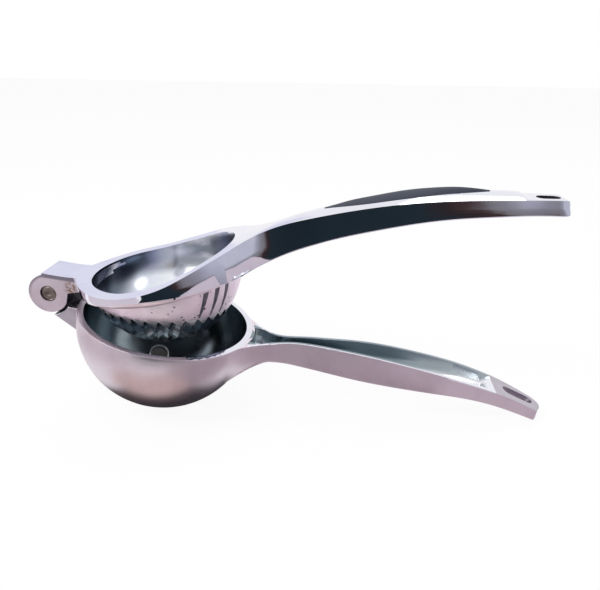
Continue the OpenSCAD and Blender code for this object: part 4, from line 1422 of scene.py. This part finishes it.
# Cards that stand and lie round the squeezer and are seen only in its metal, as (x, y, z)
# corners with their colour, or colours along X
cards = {
    "floorFar": {"span": (-0.12, 0.60), "corners": [
        (-0.090, -0.095, 0.001), (0.000, -0.090, 0.001), (0.050, -0.120, 0.001),
        (0.180, -0.135, 0.001), (0.300, -0.110, 0.001), (0.250, 0.350, 0.001),
        (3.000, 0.600, 0.001), (3.000, -1.0, 0.001), (-0.500, -1.0, 0.001),
        (-0.115, -0.220, 0.001)],
        "tones": [(0.0, (0.012, 0.020, 0.026)), (0.28, (0.017, 0.028, 0.036)),
                  (0.34, (0.030, 0.022, 0.024)), (0.40, (0.060, 0.036, 0.036)),
                  (0.45, (0.20, 0.19, 0.20)), (0.60, (0.27, 0.27, 0.30)),
                  (0.74, (0.42, 0.42, 0.49)), (0.84, (0.58, 0.59, 0.66))]},
    "floorNear": {"shine": (0.66, 0.585, 0.63), "corners": [
        (0.000, -0.170, 0.0005), (-0.004, -0.030, 0.0005), (-0.004, 0.150, 0.0005),
        (0.450, 0.150, 0.0005), (0.450, -0.170, 0.0005)]},
    "floorPink": {"shine": (0.74, 0.67, 0.71), "corners": [
        (-0.106, -0.150, 0.0007), (-0.400, -0.150, 0.0007), (-0.400, 0.020, 0.0007),
        (-0.150, 0.020, 0.0007), (-0.090, -0.075, 0.0007)]},
    "floorWarm": {"shine": (0.74, 0.59, 0.55), "corners": [
        (-0.100, -0.062, 0.0006), (-0.085, -0.031, 0.0006), (-0.026, -0.031, 0.0006),
        (-0.026, -0.062, 0.0006)]},
    "floorWarmDim": {"shine": (0.46, 0.40, 0.43), "corners": [
        (-0.026, -0.070, 0.0006), (-0.026, -0.031, 0.0006), (0.000, -0.010, 0.0006),
        (0.060, -0.010, 0.0006), (0.060, -0.030, 0.0006), (0.000, -0.070, 0.0006)]},
    "floorBehind": {"shine": (0.84, 0.82, 0.90), "corners": [
        (0.015, 0.012, 0.0008), (0.015, 0.140, 0.0008), (0.240, 0.140, 0.0008),
        (0.240, 0.012, 0.0008)]},
    # A dark card under the bowl: painted shade, standing for the shadowed floor in the metal's
    # reflections
    "underShadowCard": {"shine": (0.03, 0.03, 0.035), "corners": [
        (-0.072, -0.031, 0.0006), (-0.095, 0.010, 0.0006), (-0.080, 0.070, 0.0006),
        (-0.020, 0.070, 0.0006), (-0.010, 0.010, 0.0006), (-0.026, -0.031, 0.0006)]},
    "frontLow": {"shine": (0.44, 0.45, 0.50), "corners": [
        (-2.0, -1.0, 0.0), (2.0, -1.0, 0.0), (2.0, -1.0, 0.16), (-2.0, -1.0, 0.16)]},
    "frontDark": {"shine": (0.24, 0.26, 0.30), "corners": [
        (-2.0, -1.0, 0.16), (0.05, -1.0, 0.16), (0.05, -1.0, 0.62), (-2.0, -1.0, 0.62)]},
    "frontWarm": {"shine": (0.80, 0.70, 0.58), "corners": [
        (0.05, -1.0, 0.36), (0.24, -1.0, 0.36), (0.24, -1.0, 0.60), (0.05, -1.0, 0.60)]},
    "backLilac": {"shine": (0.84, 0.85, 0.95), "corners": [
        (-2.2, 1.2, 0.0), (-0.46, 1.2, 0.0), (-0.46, 1.2, 1.0), (-2.2, 1.2, 1.0)]},
    "overhead": {"shine": (0.10, 0.09, 0.11), "corners": [
        (-1.4, -1.0, 1.5), (-0.45, -1.0, 1.5), (-0.45, -0.15, 1.5), (-1.4, -0.15, 1.5)]},
    "cupGlow": {"shine": (4.0, 3.9, 3.8), "corners": [
        (0.330, -0.190, 0.360), (0.330, 0.010, 0.360), (0.400, 0.010, 0.560),
        (0.400, -0.190, 0.560)]},
}


def standCard(name, card):
    paint = bpy.data.materials.new(name)
    paint.use_nodes = True
    tree = paint.node_tree
    shader = tree.nodes["Principled BSDF"]
    shader.inputs["Base Color"].default_value = (0, 0, 0, 1)
    shader.inputs["Roughness"].default_value = 1
    shader.inputs["Specular IOR Level"].default_value = 0
    shader.inputs["Emission Strength"].default_value = 1
    if "tones" in card:
        place = put(tree, "TexCoord")
        wobble = put(tree, "TexNoise", {"Vector": place.outputs["Object"], "Scale": 22.0,
                                        "Detail": 2.0})
        along = put(tree, "SeparateXYZ", {0: place.outputs["Object"]})
        shift = put(tree, "MapRange", {"Value": wobble.outputs["Fac"], "To Min": -0.045,
                                       "To Max": 0.045})
        moved = put(tree, "Math", {0: along.outputs["X"], 1: shift.outputs["Result"]},
                    operation="ADD")
        share = put(tree, "MapRange", {"Value": moved.outputs[0], "From Min": card["span"][0],
                                       "From Max": card["span"][1]})
        ramp = put(tree, "ValToRGB", {"Fac": share.outputs["Result"]})
        marks = ramp.color_ramp.elements
        while len(marks) < len(card["tones"]):
            marks.new(0.5)
        for mark, (spot, tone) in zip(marks, card["tones"]):
            mark.position = spot
            mark.color = (*tone, 1)
        tree.links.new(ramp.outputs["Color"], shader.inputs["Emission Color"])
    else:
        shader.inputs["Emission Color"].default_value = (*card["shine"], 1)
    mesh = bpy.data.meshes.new(name)
    bm = bmesh.new()
    corners = [bm.verts.new(corner) for corner in card["corners"]]
    edges = [bm.edges.new(pair) for pair in zip(corners, corners[1:] + corners[:1])]
    bmesh.ops.triangle_fill(bm, edges=edges, use_beauty=True)
    bm.to_mesh(mesh)
    bm.free()
    board = bpy.data.objects.new(name, mesh)
    scene.collection.objects.link(board)
    board.data.materials.append(paint)
    board.visible_camera = False
    board.visible_shadow = False
    board.visible_diffuse = False


for name, card in cards.items():
    standCard(name, card)

camera = bpy.data.cameras.new("camera")
cameraObject = bpy.data.objects.new("camera", camera)
scene.collection.objects.link(cameraObject)
camera.sensor_fit = "HORIZONTAL"
camera.sensor_width = 36
camera.lens = 36 * stage["focal"] / 600
camera.clip_start = 0.01
turn, rise = math.radians(stage["cameraTurn"]), math.radians(stage["cameraRise"])
roll = math.radians(stage["cameraRoll"])
ahead = Vector((-math.sin(turn) * math.cos(rise), math.cos(turn) * math.cos(rise), -math.sin(rise)))
right = Vector((math.cos(turn), math.sin(turn), 0))
down = ahead.cross(right)
rightRolled = math.cos(roll) * right + math.sin(roll) * down
downRolled = -math.sin(roll) * right + math.cos(roll) * down
turned = Matrix((rightRolled, -downRolled, -ahead)).transposed().to_4x4()
lean = Matrix.Rotation(math.radians(stand["tilt"]), 4, "Y")
spot = bowlPlace @ Vector(stage["cameraSpot"])
cameraObject.matrix_world = Matrix.Translation(spot) @ lean @ turned
scene.camera = cameraObject
scene.view_settings.view_transform = "Standard"

print("finished")
